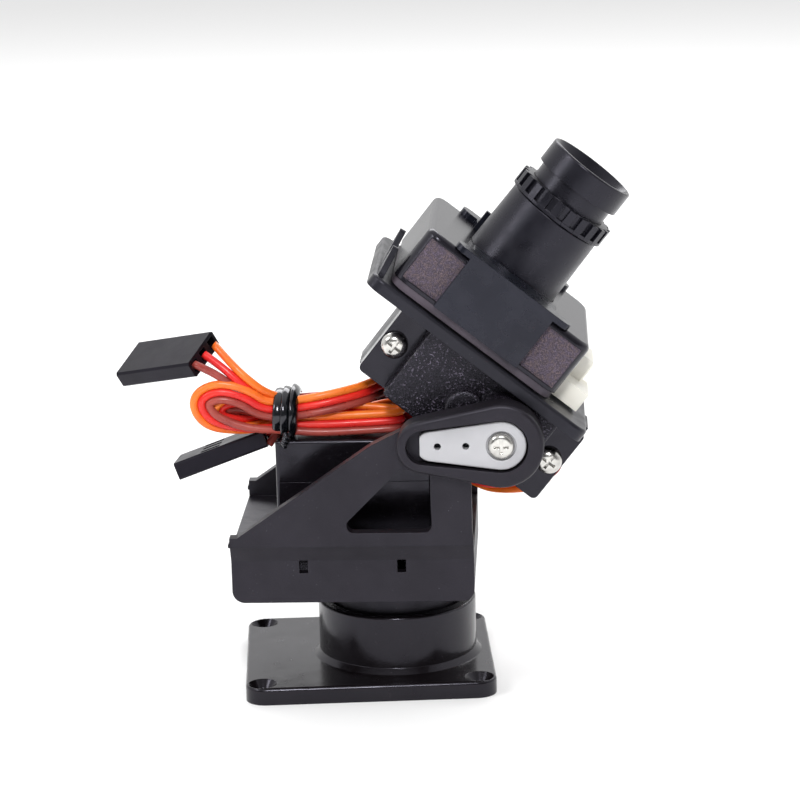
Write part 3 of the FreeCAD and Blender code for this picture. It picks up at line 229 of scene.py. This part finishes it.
def moulded(name, dark, light, rough, grain, depth, edge=0.12 * MM, dust_and_painted_glint=0.0, coat=0.0, shine=0.40):
    """Moulded plastic with a fine grain, uneven gloss and, if asked, a few pale specks, partly dust and
    partly painted glint.
    """
    finish = Finish(name)
    finish.set(IOR=1.5, Specular_IOR_Level=shine, Specular_Tint=SHEEN_TINT)
    finish.set(Coat_Weight=coat, Coat_Roughness=0.12)
    cloud = finish.noise(9 * MM, 3.0)
    base = finish.mix(finish.spread(cloud, 0.35, 0.65), dark, light)
    if dust_and_painted_glint:
        # Pale specks in the base colour: partly dust, partly painted glint.
        speck = finish.spread(finish.cells(0.55 * MM), 0.0, 0.16, 1.0, 0.0)
        patch = finish.spread(finish.noise(2.2 * MM, 2.0), 0.56, 0.66, 0.0, dust_and_painted_glint)
        base = finish.mix(finish.times(speck, patch), base, tone(128, 126, 134))
    finish.colour(base)
    finish.roughness(finish.spread(finish.noise(3 * MM, 4.0), 0.3, 0.7, rough - 0.07, rough + 0.09))
    eased = finish.eased_edges(edge)
    finish.relief(finish.noise(grain, 4.0, 0.6), depth, eased)
    return finish.material


def housing_plastic(name):
    """Smooth black plastic, with a coarse grey grain inside the sunk panels of its sides."""
    finish = Finish(name)
    finish.set(IOR=1.5, Specular_IOR_Level=0.40, Specular_Tint=SHEEN_TINT)
    side = finish.along(finish.place, TILT_WAY, TILT_POINT)
    facing = finish.along(finish.facing, TILT_WAY, Vector((0, 0, 0)))
    panel = finish.times(
        finish.spread(side, PANEL_FACE + 0.06 * MM, PANEL_FACE + 0.10 * MM, 1.0, 0.0),
        finish.spread(facing, 0.90, 0.96),
    )
    speckle = finish.spread(finish.noise(0.16 * MM, 2.0, 0.7), 0.40, 0.62)
    drift = finish.spread(finish.noise(0.5 * MM, 1.0), 0.4, 0.6)
    warmth = finish.mix(drift, tone(104, 92, 108), tone(112, 96, 98))
    grain = finish.mix(speckle, tone(58, 52, 60), warmth)
    plain = finish.mix(finish.noise(6 * MM, 2.0), tone(14, 13, 17), tone(22, 21, 26))
    finish.colour(finish.mix(panel, plain, grain))
    finish.roughness(finish.spread(panel, 0.0, 1.0, 0.24, 0.62))
    finish.relief(finish.times(panel, speckle), 0.04 * MM, finish.eased_edges(0.2 * MM))
    return finish.material


def painted_glint_plastic(name):
    """Glossy black plastic with a coarse spark-eroded skin, and pale glint flecks painted into its colour all
    over.
    """
    finish = Finish(name)
    finish.set(IOR=1.5, Specular_IOR_Level=0.45, Specular_Tint=SHEEN_TINT)
    pits = finish.noise(0.30 * MM, 3.0, 0.65)
    # Painted glint: pale flecks in the base colour where the fine noise peaks, faded in places by a coarser
    # noise.
    painted_glints = finish.spread(pits, 0.56, 0.68)
    drift = finish.spread(finish.noise(3 * MM, 2.0), 0.35, 0.6, 0.25, 1.0)
    finish.colour(finish.mix(finish.times(painted_glints, drift), tone(8, 6, 10), tone(122, 114, 132)))
    finish.roughness(finish.spread(pits, 0.3, 0.7, 0.34, 0.16))
    finish.relief(pits, 0.12 * MM, finish.eased_edges(0.14 * MM))
    return finish.material


def metal(name, colour, rough, grain=0.3 * MM, depth=0.004 * MM):
    """Plated or turned metal with faint marks."""
    finish = Finish(name)
    finish.set(Metallic=1.0)
    worn = tuple(part * 0.72 for part in colour[:3]) + (1.0,)
    finish.colour(finish.mix(finish.spread(finish.noise(1.2 * MM, 4.0), 0.35, 0.7), colour, worn))
    finish.roughness(finish.spread(finish.noise(0.8 * MM, 3.0), 0.3, 0.7, rough * 0.7, rough * 1.4))
    finish.relief(finish.noise(grain, 3.0), depth, finish.eased_edges(0.05 * MM))
    return finish.material


def insulation(name, colour, shade):
    """Soft wire insulation with a slight sheen and small colour changes along it."""
    finish = Finish(name)
    finish.set(IOR=1.46, Subsurface_Weight=0.06, Subsurface_Scale=0.0006)
    finish.colour(finish.mix(finish.spread(finish.noise(5 * MM, 3.0), 0.35, 0.68), colour, shade))
    finish.roughness(finish.spread(finish.noise(1.5 * MM, 3.0), 0.3, 0.7, 0.24, 0.42))
    finish.relief(finish.noise(0.5 * MM, 2.0), 0.015 * MM)
    return finish.material


def optical_glass(name):
    finish = Finish(name)
    finish.set(IOR=1.6, Transmission_Weight=0.85, Coat_Weight=0.6, Coat_Roughness=0.02)
    finish.colour(finish.mix(finish.noise(6 * MM, 1.0), tone(38, 44, 62), tone(52, 40, 66)))
    finish.roughness(finish.spread(finish.noise(2 * MM, 2.0), 0.3, 0.7, 0.02, 0.06))
    return finish.material


def circuit_board(name):
    finish = Finish(name)
    finish.set(IOR=1.5)
    tracks = finish.spread(finish.cells(1.6 * MM, "DISTANCE_TO_EDGE"), 0.02, 0.06)
    finish.colour(finish.mix(tracks, tone(32, 96, 52), tone(14, 62, 34)))
    finish.roughness(finish.spread(finish.noise(1 * MM, 2.0), 0.3, 0.7, 0.25, 0.4))
    finish.relief(tracks, 0.03 * MM, finish.eased_edges(0.05 * MM))
    return finish.material


def floor_finish():
    finish = Finish("studio_paper")
    finish.set(Roughness=0.85)
    finish.colour(finish.mix(finish.noise(0.6, 2.0), tone(250, 250, 250), tone(253, 253, 253)))
    return finish.material


FINISHES = {
    "yoke_nylon": moulded(
        "yoke_nylon", tone(20, 17, 21), tone(27, 24, 29), 0.42, 0.22 * MM, 0.022 * MM, 0.16 * MM, dust_and_painted_glint=0.45
    ),
    "foot_nylon": moulded(
        "foot_nylon", tone(14, 11, 13), tone(20, 17, 19), 0.20, 0.5 * MM, 0.010 * MM, 0.16 * MM, dust_and_painted_glint=0.3
    ),
    "frame_nylon": moulded(
        "frame_nylon", tone(15, 15, 19), tone(22, 22, 27), 0.34, 0.3 * MM, 0.014 * MM, 0.14 * MM, dust_and_painted_glint=0.3
    ),
    "servo_case_plastic": moulded(
        "servo_case_plastic",
        tone(11, 9, 12),
        tone(17, 15, 19),
        0.20,
        0.6 * MM,
        0.006 * MM,
        0.12 * MM,
        dust_and_painted_glint=0.25,
    ),
    "gear_cap_plastic": painted_glint_plastic("gear_cap_plastic"),
    "camera_plastic": moulded(
        "camera_plastic", tone(52, 47, 52), tone(84, 76, 84), 0.42, 0.12 * MM, 0.03 * MM, 0.14 * MM, dust_and_painted_glint=0.5
    ),
    "housing_plastic": housing_plastic("housing_plastic"),
    "clip_plastic": moulded(
        "clip_plastic", tone(14, 17, 24), tone(19, 22, 30), 0.26, 0.8 * MM, 0.006 * MM, 0.12 * MM
    ),
    "lens_body_plastic": moulded(
        "lens_body_plastic", tone(13, 13, 19), tone(18, 18, 25), 0.30, 0.14 * MM, 0.016 * MM, 0.12 * MM
    ),
    "lens_ring_plastic": moulded(
        "lens_ring_plastic", tone(12, 12, 17), tone(18, 18, 24), 0.27, 0.2 * MM, 0.012 * MM, 0.10 * MM
    ),
    "horn_plastic": moulded(
        "horn_plastic", tone(172, 172, 175), tone(186, 186, 189), 0.38, 0.25 * MM, 0.010 * MM, 0.12 * MM
    ),
    "gear_plastic": moulded(
        "gear_plastic", tone(205, 202, 192), tone(218, 215, 205), 0.4, 0.3 * MM, 0.01 * MM, 0.05 * MM
    ),
    "plug_plastic": moulded(
        "plug_plastic", tone(15, 13, 19), tone(21, 18, 26), 0.36, 0.35 * MM, 0.012 * MM, 0.12 * MM, shine=0.22
    ),
    "tie_coating": moulded(
        "tie_coating", tone(8, 10, 13), tone(14, 16, 20), 0.13, 0.8 * MM, 0.02 * MM, 0.08 * MM, coat=0.5
    ),
    "soft_rubber": moulded(
        "soft_rubber", tone(24, 24, 26), tone(30, 30, 33), 0.6, 0.3 * MM, 0.02 * MM, 0.1 * MM
    ),
    "socket_nylon": moulded(
        "socket_nylon", tone(240, 237, 224), tone(247, 245, 236), 0.32, 0.3 * MM, 0.008 * MM, 0.1 * MM
    ),
    "bright_screw": metal("bright_screw", tone(214, 212, 208), 0.20),
    "contact_plating": metal("contact_plating", tone(222, 186, 110), 0.24),
    "motor_steel": metal("motor_steel", tone(190, 190, 192), 0.3),
    "coated_glass": optical_glass("coated_glass"),
    "green_board": circuit_board("green_board"),
}

ORANGE_WIRE = insulation("orange_wire", tone(246, 128, 42), tone(240, 104, 34))
RED_WIRE = insulation("red_wire", tone(238, 48, 38), tone(216, 32, 36))
BROWN_WIRE = insulation("brown_wire", tone(168, 72, 62), tone(142, 54, 50))
WIRE_FINISHES = (ORANGE_WIRE, RED_WIRE, BROWN_WIRE)

SERVO_FINISHES = {
    "bottom_cover": "servo_case_plastic",
    "case": "servo_case_plastic",
    "gear_cap": "gear_cap_plastic",
    "case_screws": "bright_screw",
    "motor": "motor_steel",
    "circuit": "green_board",
    "potentiometer": "soft_rubber",
    "lead_grommet": "soft_rubber",
    "output_shaft": "gear_plastic",
}
NODE_FINISHES = {
    "base_plate": "foot_nylon",
    "pan_horn": "horn_plastic",
    "base_horn_screws": "bright_screw",
    "pan_horn_screw": "bright_screw",
    "yoke_near_half": "yoke_nylon",
    "yoke_far_half": "yoke_nylon",
    "yoke_clamp_screws": "bright_screw",
    "tilt_horn": "horn_plastic",
    "tilt_horn_screw": "bright_screw",
    "tilt_frame": "frame_nylon",
    "servo_tab_screws": "bright_screw",
    "far_pivot_screw": "bright_screw",
    "camera_pad": "soft_rubber",
    "camera_back_cover": "camera_plastic",
    "camera_housing": "housing_plastic",
    "camera_board": "green_board",
    "image_sensor": "coated_glass",
    "lens_holder": "lens_body_plastic",
    "camera_socket": "socket_nylon",
    "camera_side_plug": "socket_nylon",
    "camera_clip_near": "clip_plastic",
    "camera_clip_far": "clip_plastic",
    "lens_barrel": "lens_ring_plastic",
    "lens_elements": "coated_glass",
    "tilt_lead_plug": "plug_plastic",
    "pan_lead_plug": "plug_plastic",
    "plug_contacts": "contact_plating",
}
for servo in ("pan_servo_", "tilt_servo_"):
    for part, finish_name in SERVO_FINISHES.items():
        NODE_FINISHES[servo + part] = finish_name


def give_finish(piece, material):
    piece.data.materials.clear()
    piece.data.materials.append(material)


for node, finish_name in NODE_FINISHES.items():
    give_finish(NODES[node], FINISHES[finish_name])


# ---- leads ----
WIRE_D = 1.2 * MM
WIRE_PITCH = 1.15 * MM
PLUG_PITCH = 2.54 * MM
FAN_LENGTH = 6 * MM
WIRE_SIDES = 12

# Each lead's route in the yoke's frame, in metres, and the way across the flat lead at each
# point, from its brown wire to its orange one.
TILT_LEAD = [
    ((0.02125, 0.00700, 0.03458), (0.0, 1.0, 0.0)),
    ((0.02376, 0.00700, 0.03259), (0.0, 1.0, 0.0)),
    ((0.02430, 0.00770, 0.02890), (-0.4, 0.9, -0.2)),
    ((0.02180, 0.00870, 0.02590), (-0.4, 0.5, -0.8)),
    ((0.01720, 0.00965, 0.02530), (0.0, 0.1, -1.0)),
    ((0.01260, 0.01060, 0.02470), (0.1, 0.9, -0.6)),
    ((0.00740, 0.01080, 0.02760), (-0.3, 1.0, 0.3)),
    ((0.00360, 0.01090, 0.03240), (-0.8, 0.5, 0.5)),
    ((0.00220, 0.01090, 0.03740), (-0.8, -0.2, 0.4)),
    ((0.00060, 0.00780, 0.04130), (-0.5, -0.1, 0.8)),
    ((-0.00140, 0.00180, 0.04270), (-0.2, 0.0, 1.0)),
    ((-0.00360, -0.00300, 0.04270), (0.0, 0.0, 1.0)),
    ((-0.00960, -0.00560, 0.04180), (0.0, 0.0, 1.0)),
    ((-0.01520, -0.00500, 0.04080), (0.0, 0.0, 1.0)),
    ((-0.01860, -0.00560, 0.04110), (0.4, 0.0, 1.0)),
    ((-0.02120, -0.00620, 0.04320), (0.4, 0.0, 1.0)),
    ((-0.02500, -0.00640, 0.04420), (-0.1, 0.0, 1.0)),
    ((-0.02780, -0.00640, 0.04260), (-1.0, 0.0, 0.3)),
    ((-0.02640, -0.00600, 0.03960), (-0.8, 0.2, -0.6)),
    ((-0.02280, -0.00540, 0.03830), (-0.2, 0.8, -0.6)),
    ((-0.01920, -0.00500, 0.03790), (0.1, 1.0, -0.2)),
    ((-0.01520, -0.00420, 0.03830), (0.0, 0.9, 0.4)),
    ((-0.00900, -0.00460, 0.03840), (0.0, 0.3, 1.0)),
    ((-0.00300, -0.00430, 0.03860), (0.0, 0.1, 1.0)),
    ((0.00060, -0.00400, 0.03870), (0.0, 0.1, 1.0)),
    ((0.00180, -0.00320, 0.03880), (0.0, 0.1, 1.0)),
    ((0.00040, -0.00240, 0.03900), (0.0, 0.1, 1.0)),
    ((-0.00600, -0.00260, 0.03960), (0.0, 0.0, 1.0)),
    ((-0.01520, -0.00350, 0.04090), (0.0, 0.0, 1.0)),
    ((-0.01860, -0.00540, 0.04240), (0.5, 0.0, 0.9)),
    ((-0.02160, -0.00600, 0.04500), (0.6, 0.1, 0.8)),
    ((-0.02420, -0.00540, 0.04740), (0.5, 0.5, 0.6)),
    ((-0.02690, -0.00440, 0.04910), (0.383, 0.803, 0.456)),
]
PAN_LEAD = [
    ((0.00645, 0.00000, 0.03190), (0.0, 1.0, 0.0)),
    ((0.00790, 0.00000, 0.03190), (0.3, 1.0, 0.0)),
    ((0.00870, 0.00130, 0.03130), (0.6, 0.4, 1.0)),
    ((0.00880, 0.00400, 0.03050), (0.1, 0.2, 1.0)),
    ((0.00770, 0.00730, 0.03110), (0.4, 0.5, 1.0)),
    ((0.00440, 0.00830, 0.03420), (0.6, 0.2, 0.7)),
    ((0.00030, 0.00680, 0.03790), (0.4, 0.4, 0.8)),
    ((-0.00380, 0.00160, 0.03820), (0.1, 0.2, 1.0)),
    ((-0.00640, -0.00120, 0.03860), (0.0, 0.0, 1.0)),
    ((-0.01040, -0.00180, 0.03920), (0.0, 0.0, 1.0)),
    ((-0.01520, -0.00220, 0.04000), (0.0, 0.0, 1.0)),
    ((-0.01880, -0.00300, 0.04060), (0.3, 0.0, 1.0)),
    ((-0.02160, -0.00420, 0.04180), (0.2, -0.3, 1.0)),
    ((-0.02420, -0.00480, 0.04160), (-0.5, -0.6, 0.7)),
    ((-0.02500, -0.00480, 0.04020), (-0.8, -0.6, -0.2)),
    ((-0.02280, -0.00440, 0.03920), (0.0, -0.6, -0.8)),
    ((-0.01960, -0.00300, 0.03920), (0.1, -0.3, -0.9)),
    ((-0.01520, -0.00090, 0.04040), (0.0, 0.0, -1.0)),
    ((-0.01000, -0.00060, 0.04060), (0.0, 0.0, -1.0)),
    ((-0.00640, 0.00000, 0.04060), (0.0, -0.5, -1.0)),
    ((-0.00500, 0.00060, 0.03960), (0.5, -1.0, 0.0)),
    ((-0.00640, 0.00060, 0.03860), (0.0, -0.5, 1.0)),
    ((-0.01050, -0.00010, 0.03850), (0.0, 0.3, 1.0)),
    ((-0.01520, -0.00070, 0.03850), (0.0, 0.6, 0.6)),
    ((-0.01720, -0.00060, 0.03720), (-0.13, 0.92, 0.37)),
    ((-0.01844, -0.00040, 0.03595), (-0.13, 0.92, 0.37)),
]


def smooth_line(points):
    """The points along a smooth curve that has the given ones as its control points."""
    data = bpy.data.curves.new("line", "CURVE")
    data.dimensions = "3D"
    data.resolution_u = 10
    spline = data.splines.new("NURBS")
    spline.points.add(len(points) - 1)
    for spot, point in zip(spline.points, points):
        spot.co = (*point, 1.0)
    spline.order_u = 3
    spline.use_endpoint_u = True
    holder = bpy.data.objects.new("line", data)
    bpy.context.scene.collection.objects.link(holder)
    bpy.context.view_layer.update()
    seen = holder.evaluated_get(bpy.context.evaluated_depsgraph_get())
    mesh = bpy.data.meshes.new_from_object(seen)
    line = [vertex.co.copy() for vertex in mesh.vertices]
    bpy.data.objects.remove(holder)
    bpy.data.meshes.remove(mesh)
    return line


def line_length(line):
    return sum((after - before).length for before, after in zip(line, line[1:]))


def flat_lead(name, route):
    """Three wires side by side along a route. Returns the piece and its centreline."""
    centre = smooth_line([YOKE @ Vector(point) for point, _ in route])
    turn = YOKE.to_3x3()
    guide = smooth_line(
        [YOKE @ Vector(point) + turn @ Vector(across).normalized() * MM for point, across in route]
    )
    left = line_length(centre)
    shape = bmesh.new()
    rings = [[], [], []]
    last = len(centre) - 1
    for i, spot in enumerate(centre):
        along = (centre[min(i + 1, last)] - centre[max(i - 1, 0)]).normalized()
        across = guide[i] - spot
        across = (across - along * across.dot(along)).normalized()
        through = along.cross(across)
        if i:
            left -= (spot - centre[i - 1]).length
        fan = max(0.0, 1 - left / FAN_LENGTH) ** 2
        pitch = WIRE_PITCH + (PLUG_PITCH - WIRE_PITCH) * fan
        for wire, ring in enumerate(rings):
            middle = spot + across * pitch * (1 - wire)
            circle = []
            for side in range(WIRE_SIDES):
                angle = 2 * math.pi * side / WIRE_SIDES
                reach = across * math.cos(angle) + through * math.sin(angle)
                circle.append(shape.verts.new(middle + reach * WIRE_D / 2))
            ring.append(circle)
    for wire, ring in enumerate(rings):
        for first, second in zip(ring, ring[1:]):
            for side in range(WIRE_SIDES):
                after = (side + 1) % WIRE_SIDES
                face = shape.faces.new((first[side], first[after], second[after], second[side]))
                face.material_index = wire
                face.smooth = True
        for end in (ring[0], ring[-1]):
            shape.faces.new(end).material_index = wire
    bmesh.ops.recalc_face_normals(shape, faces=shape.faces)
    mesh = bpy.data.meshes.new(name)
    shape.to_mesh(mesh)
    shape.free()
    for material in WIRE_FINISHES:
        mesh.materials.append(material)
    piece = bpy.data.objects.new(name, mesh)
    bpy.context.scene.collection.objects.link(piece)
    return piece, centre


tilt_lead, tilt_line = flat_lead("tilt_lead", TILT_LEAD)
pan_lead, pan_line = flat_lead("pan_lead", PAN_LEAD)

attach(pan_lead, "yoke")
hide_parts("tilt_lead_slack", "tilt_lead_run", "tilt_lead_tail", "lead_hank")
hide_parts("pan_lead_run", "pan_lead_tail", "lead_hank")
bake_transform(tilt_lead)


# ---- pieces that repeat or wind, made by geometry nodes ----
class Maker:
    """A geometry node tree with named inputs, run once to give a plain mesh."""

    def __init__(self, name, **inputs):
        self.name = name
        self.tree = bpy.data.node_groups.new(name, "GeometryNodeTree")
        face = self.tree.interface
        face.new_socket("Geometry", in_out="OUTPUT", socket_type="NodeSocketGeometry")
        self.values = {}
        for label, value in inputs.items():
            kind = "NodeSocketInt" if isinstance(value, int) else "NodeSocketFloat"
            socket = face.new_socket(label, in_out="INPUT", socket_type=kind)
            self.values[socket.identifier] = value
        self.given = self.tree.nodes.new("NodeGroupInput").outputs
        self.out = self.tree.nodes.new("NodeGroupOutput")

    def node(self, kind, outlet=0, setup=None, **sockets):
        node = self.tree.nodes.new(kind)
        for label, value in (setup or {}).items():
            setattr(node, label, value)
        for label, value in sockets.items():
            socket = node.inputs[label.replace("_", " ")]
            if isinstance(value, bpy.types.NodeSocket):
                self.tree.links.new(value, socket)
            else:
                socket.default_value = value
        return node.outputs[outlet]

    def worked_out(self, operation, first, second):
        """One arithmetic operation on two sockets or numbers."""
        node = self.tree.nodes.new("ShaderNodeMath")
        node.operation = operation
        for socket, value in zip(node.inputs, (first, second)):
            if isinstance(value, bpy.types.NodeSocket):
                self.tree.links.new(value, socket)
            else:
                socket.default_value = value
        return node.outputs[0]

    def joined(self, *parts):
        node = self.tree.nodes.new("GeometryNodeJoinGeometry")
        for part in parts:
            self.tree.links.new(part, node.inputs[0])
        return node.outputs[0]

    def piece(self, shape, material, place, smooth):
        """Runs the tree once and returns a plain piece, moved by the matrix `place`."""
        real = self.node("GeometryNodeRealizeInstances", Geometry=shape)
        painted = self.node("GeometryNodeSetMaterial", Geometry=real, Material=material)
        self.tree.links.new(painted, self.out.inputs[0])
        blank = bpy.data.objects.new(self.name, bpy.data.meshes.new(self.name))
        bpy.context.scene.collection.objects.link(blank)
        modifier = blank.modifiers.new(self.name, "NODES")
        modifier.node_group = self.tree
        for identifier, value in self.values.items():
            modifier[identifier] = value
        seen = blank.evaluated_get(bpy.context.evaluated_depsgraph_get())
        mesh = bpy.data.meshes.new_from_object(seen)
        blank.modifiers.remove(modifier)
        blank.data = mesh
        mesh.transform(place)
        work = bmesh.new()
        work.from_mesh(mesh)
        bmesh.ops.remove_doubles(work, verts=work.verts, dist=1e-7)
        bmesh.ops.recalc_face_normals(work, faces=work.faces)
        for face in work.faces:
            face.smooth = smooth
        work.to_mesh(mesh)
        work.free()
        return blank


TIE_AT = (-0.0166, -0.0031, 0.0401)
TIE_FIRST_R = 3.05 * MM
TIE_LAST_R = 3.40 * MM
TIE_STRIP_FLATNESS = 0.40
TIE_LOOP_STRETCH = 1.25
TIE_END_R = 0.34 * MM
TIE_END_LENGTH = 1.9 * MM
TIE_END_TURNS = 1.5
TIE_END_AT = (2.5 * MM, -3.7 * MM, 1.6 * MM)
TIE_END_LEAN = 1.9


def tie_turns():
    """The twist tie: a flat coated strip wound round the bundle, with its twisted ends."""
    maker = Maker("lead_tie_turns", Turns=2.6, Spread=3.0 * MM, Half_Width=0.78 * MM, Twist=0.26 * MM)
    strip = maker.node("GeometryNodeCurvePrimitiveCircle", Radius=maker.given["Half_Width"], Resolution=14)
    flat = maker.node("GeometryNodeTransform", Geometry=strip, Scale=(TIE_STRIP_FLATNESS, 1.0, 1.0))
    wound = maker.node(
        "GeometryNodeCurveSpiral",
        Resolution=72,
        Rotations=maker.given["Turns"],
        Start_Radius=TIE_FIRST_R,
        End_Radius=TIE_LAST_R,
        Height=maker.given["Spread"],
    )
    eased = maker.node("GeometryNodeTransform", Geometry=wound, Scale=(1.0, TIE_LOOP_STRETCH, 1.0))
    turns = maker.node(
        "GeometryNodeCurveToMesh", Curve=eased, Profile_Curve=flat, Fill_Caps=True
    )
    thin = maker.node("GeometryNodeCurvePrimitiveCircle", Radius=TIE_END_R, Resolution=10)
    ends = []
    for start in (0.0, math.pi):
        helix = maker.node(
            "GeometryNodeCurveSpiral",
            Resolution=24,
            Rotations=TIE_END_TURNS,
            Start_Radius=maker.given["Twist"],
            End_Radius=maker.given["Twist"],
            Height=TIE_END_LENGTH,
        )
        strand = maker.node(
            "GeometryNodeTransform", Geometry=helix, Rotation=(0.0, 0.0, start)
        )
        tube = maker.node(
            "GeometryNodeCurveToMesh", Curve=strand, Profile_Curve=thin, Fill_Caps=True
        )
        ends.append(
            maker.node(
                "GeometryNodeTransform",
                Geometry=tube,
                Translation=TIE_END_AT,
                Rotation=(0.0, TIE_END_LEAN, 0.0),
            )
        )
    across = Matrix.Rotation(math.pi / 2, 4, "Y")
    place = YOKE @ Matrix.Translation(TIE_AT) @ across
    return maker.piece(maker.joined(turns, *ends), FINISHES["tie_coating"], place, True)


RING_FOOT = 28.35 * MM
RING_TOP = 31.0 * MM
RING_RIM = 0.5 * MM
RING_BORE_R = 6.1 * MM
RING_WAIST_R = 7.15 * MM
RING_STEPS = 110
RING_BLOCK_DEPTH = 0.9 * MM
LENS_SHIFT = -0.012


def ribbed_lock_ring():
    """The lens lock ring: a plain ring with finger blocks all round it."""
    foot, top, rim = RING_FOOT, RING_TOP, RING_RIM
    bore, waist = RING_BORE_R, RING_WAIST_R
    maker = Maker("lock_ring_blocks", Blocks=22, Reach=7.70 * MM, Block_Width=1.15 * MM)
    track = maker.node("GeometryNodeCurvePrimitiveCircle", Radius=(bore + waist) / 2, Resolution=RING_STEPS)
    section = maker.node(
        "GeometryNodeCurvePrimitiveQuadrilateral", Width=waist - bore, Height=top - foot
    )
    ring = maker.node("GeometryNodeCurveToMesh", Curve=track, Profile_Curve=section)
    flange_track = maker.node(
        "GeometryNodeCurvePrimitiveCircle", Radius=waist + 0.2 * MM, Resolution=RING_STEPS
    )
    flange_section = maker.node(
        "GeometryNodeCurvePrimitiveQuadrilateral", Width=0.7 * MM, Height=rim
    )
    flange = maker.node("GeometryNodeCurveToMesh", Curve=flange_track, Profile_Curve=flange_section)
    low = maker.node(
        "GeometryNodeTransform", Geometry=flange, Translation=(0.0, 0.0, (foot - top + rim) / 2)
    )
    depth = RING_BLOCK_DEPTH
    spots = maker.node(
        "GeometryNodeMeshCircle",
        Vertices=maker.given["Blocks"],
        Radius=maker.worked_out("SUBTRACT", maker.given["Reach"], depth / 2),
    )
    size = maker.tree.nodes.new("ShaderNodeCombineXYZ")
    size.inputs[0].default_value = depth
    size.inputs[2].default_value = top - foot - 0.1 * MM
    maker.tree.links.new(maker.given["Block_Width"], size.inputs[1])
    block = maker.node("GeometryNodeMeshCube", Size=size.outputs[0])
    index = maker.node("GeometryNodeInputIndex")
    step = maker.worked_out("DIVIDE", 2 * math.pi, maker.given["Blocks"])
    turn = maker.tree.nodes.new("ShaderNodeCombineXYZ")
    maker.tree.links.new(maker.worked_out("MULTIPLY", index, step), turn.inputs[2])
    blocks = maker.node(
        "GeometryNodeInstanceOnPoints", Points=spots, Instance=block, Rotation=turn.outputs[0]
    )
    place = HEAD @ Matrix.Translation((LENS_SHIFT, 0.0, (foot + top) / 2))
    return maker.piece(maker.joined(ring, low, blocks), FINISHES["lens_ring_plastic"], place, False)


tie = tie_turns()
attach(tie, "yoke")
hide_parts("lead_tie")
lock_ring = ribbed_lock_ring()
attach(lock_ring, "lock_ring")
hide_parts("lens_lock_ring")


# ---- floor and light ----
def add_floor():
    size = 6.0
    mesh = bpy.data.meshes.new("studio_floor")
    corners = [(-size, -size, 0), (size, -size, 0), (size, size, 0), (-size, size, 0)]
    mesh.from_pydata(corners, [], [(0, 1, 2, 3)])
    floor = bpy.data.objects.new("studio_floor", mesh)
    bpy.context.scene.collection.objects.link(floor)
    give_finish(floor, floor_finish())


def add_panel(name, place, aim, width, height, power):
    data = bpy.data.lights.new(name, "AREA")
    data.shape = "RECTANGLE"
    data.size = width
    data.size_y = height
    data.energy = power
    lamp = bpy.data.objects.new(name, data)
    lamp.location = place
    lamp.rotation_euler = (Vector(aim) - Vector(place)).to_track_quat("-Z", "Y").to_euler()
    bpy.context.scene.collection.objects.link(lamp)


SKY_STRENGTH = 1.0
SKY_NEAR_SHARE = 0.22


def add_sky(strength, near_share):
    """A white studio round the object, dimmer on its near side than above and behind."""
    world = bpy.data.worlds.new("studio")
    world.use_nodes = True
    tree = world.node_tree
    way = tree.nodes.new("ShaderNodeTexCoord")
    parts = tree.nodes.new("ShaderNodeSeparateXYZ")
    tree.links.new(way.outputs["Generated"], parts.inputs["Vector"])
    shade = tree.nodes.new("ShaderNodeMapRange")
    shade.interpolation_type = "SMOOTHSTEP"
    shade.inputs["From Min"].default_value = -0.8
    shade.inputs["From Max"].default_value = 0.1
    shade.inputs["To Min"].default_value = strength * near_share
    shade.inputs["To Max"].default_value = strength
    tree.links.new(parts.outputs["Y"], shade.inputs["Value"])
    tree.nodes["Background"].inputs["Color"].default_value = (1.0, 1.0, 1.0, 1.0)
    tree.links.new(shade.outputs["Result"], tree.nodes["Background"].inputs["Strength"])
    bpy.context.scene.world = world


bpy.context.scene.view_settings.view_transform = "Standard"
add_floor()
add_sky(SKY_STRENGTH, SKY_NEAR_SHARE)
AIM = (0.005, 0.0, 0.04)
add_panel("key_panel", (-0.02, -0.46, 0.40), AIM, 0.08, 0.16, 1.9)
add_panel("side_panel", (-0.45, -0.20, 0.45), AIM, 0.2, 0.2, 1.0)
add_panel("back_panel", (0.05, 0.5, 0.45), AIM, 0.6, 0.25, 2.0)
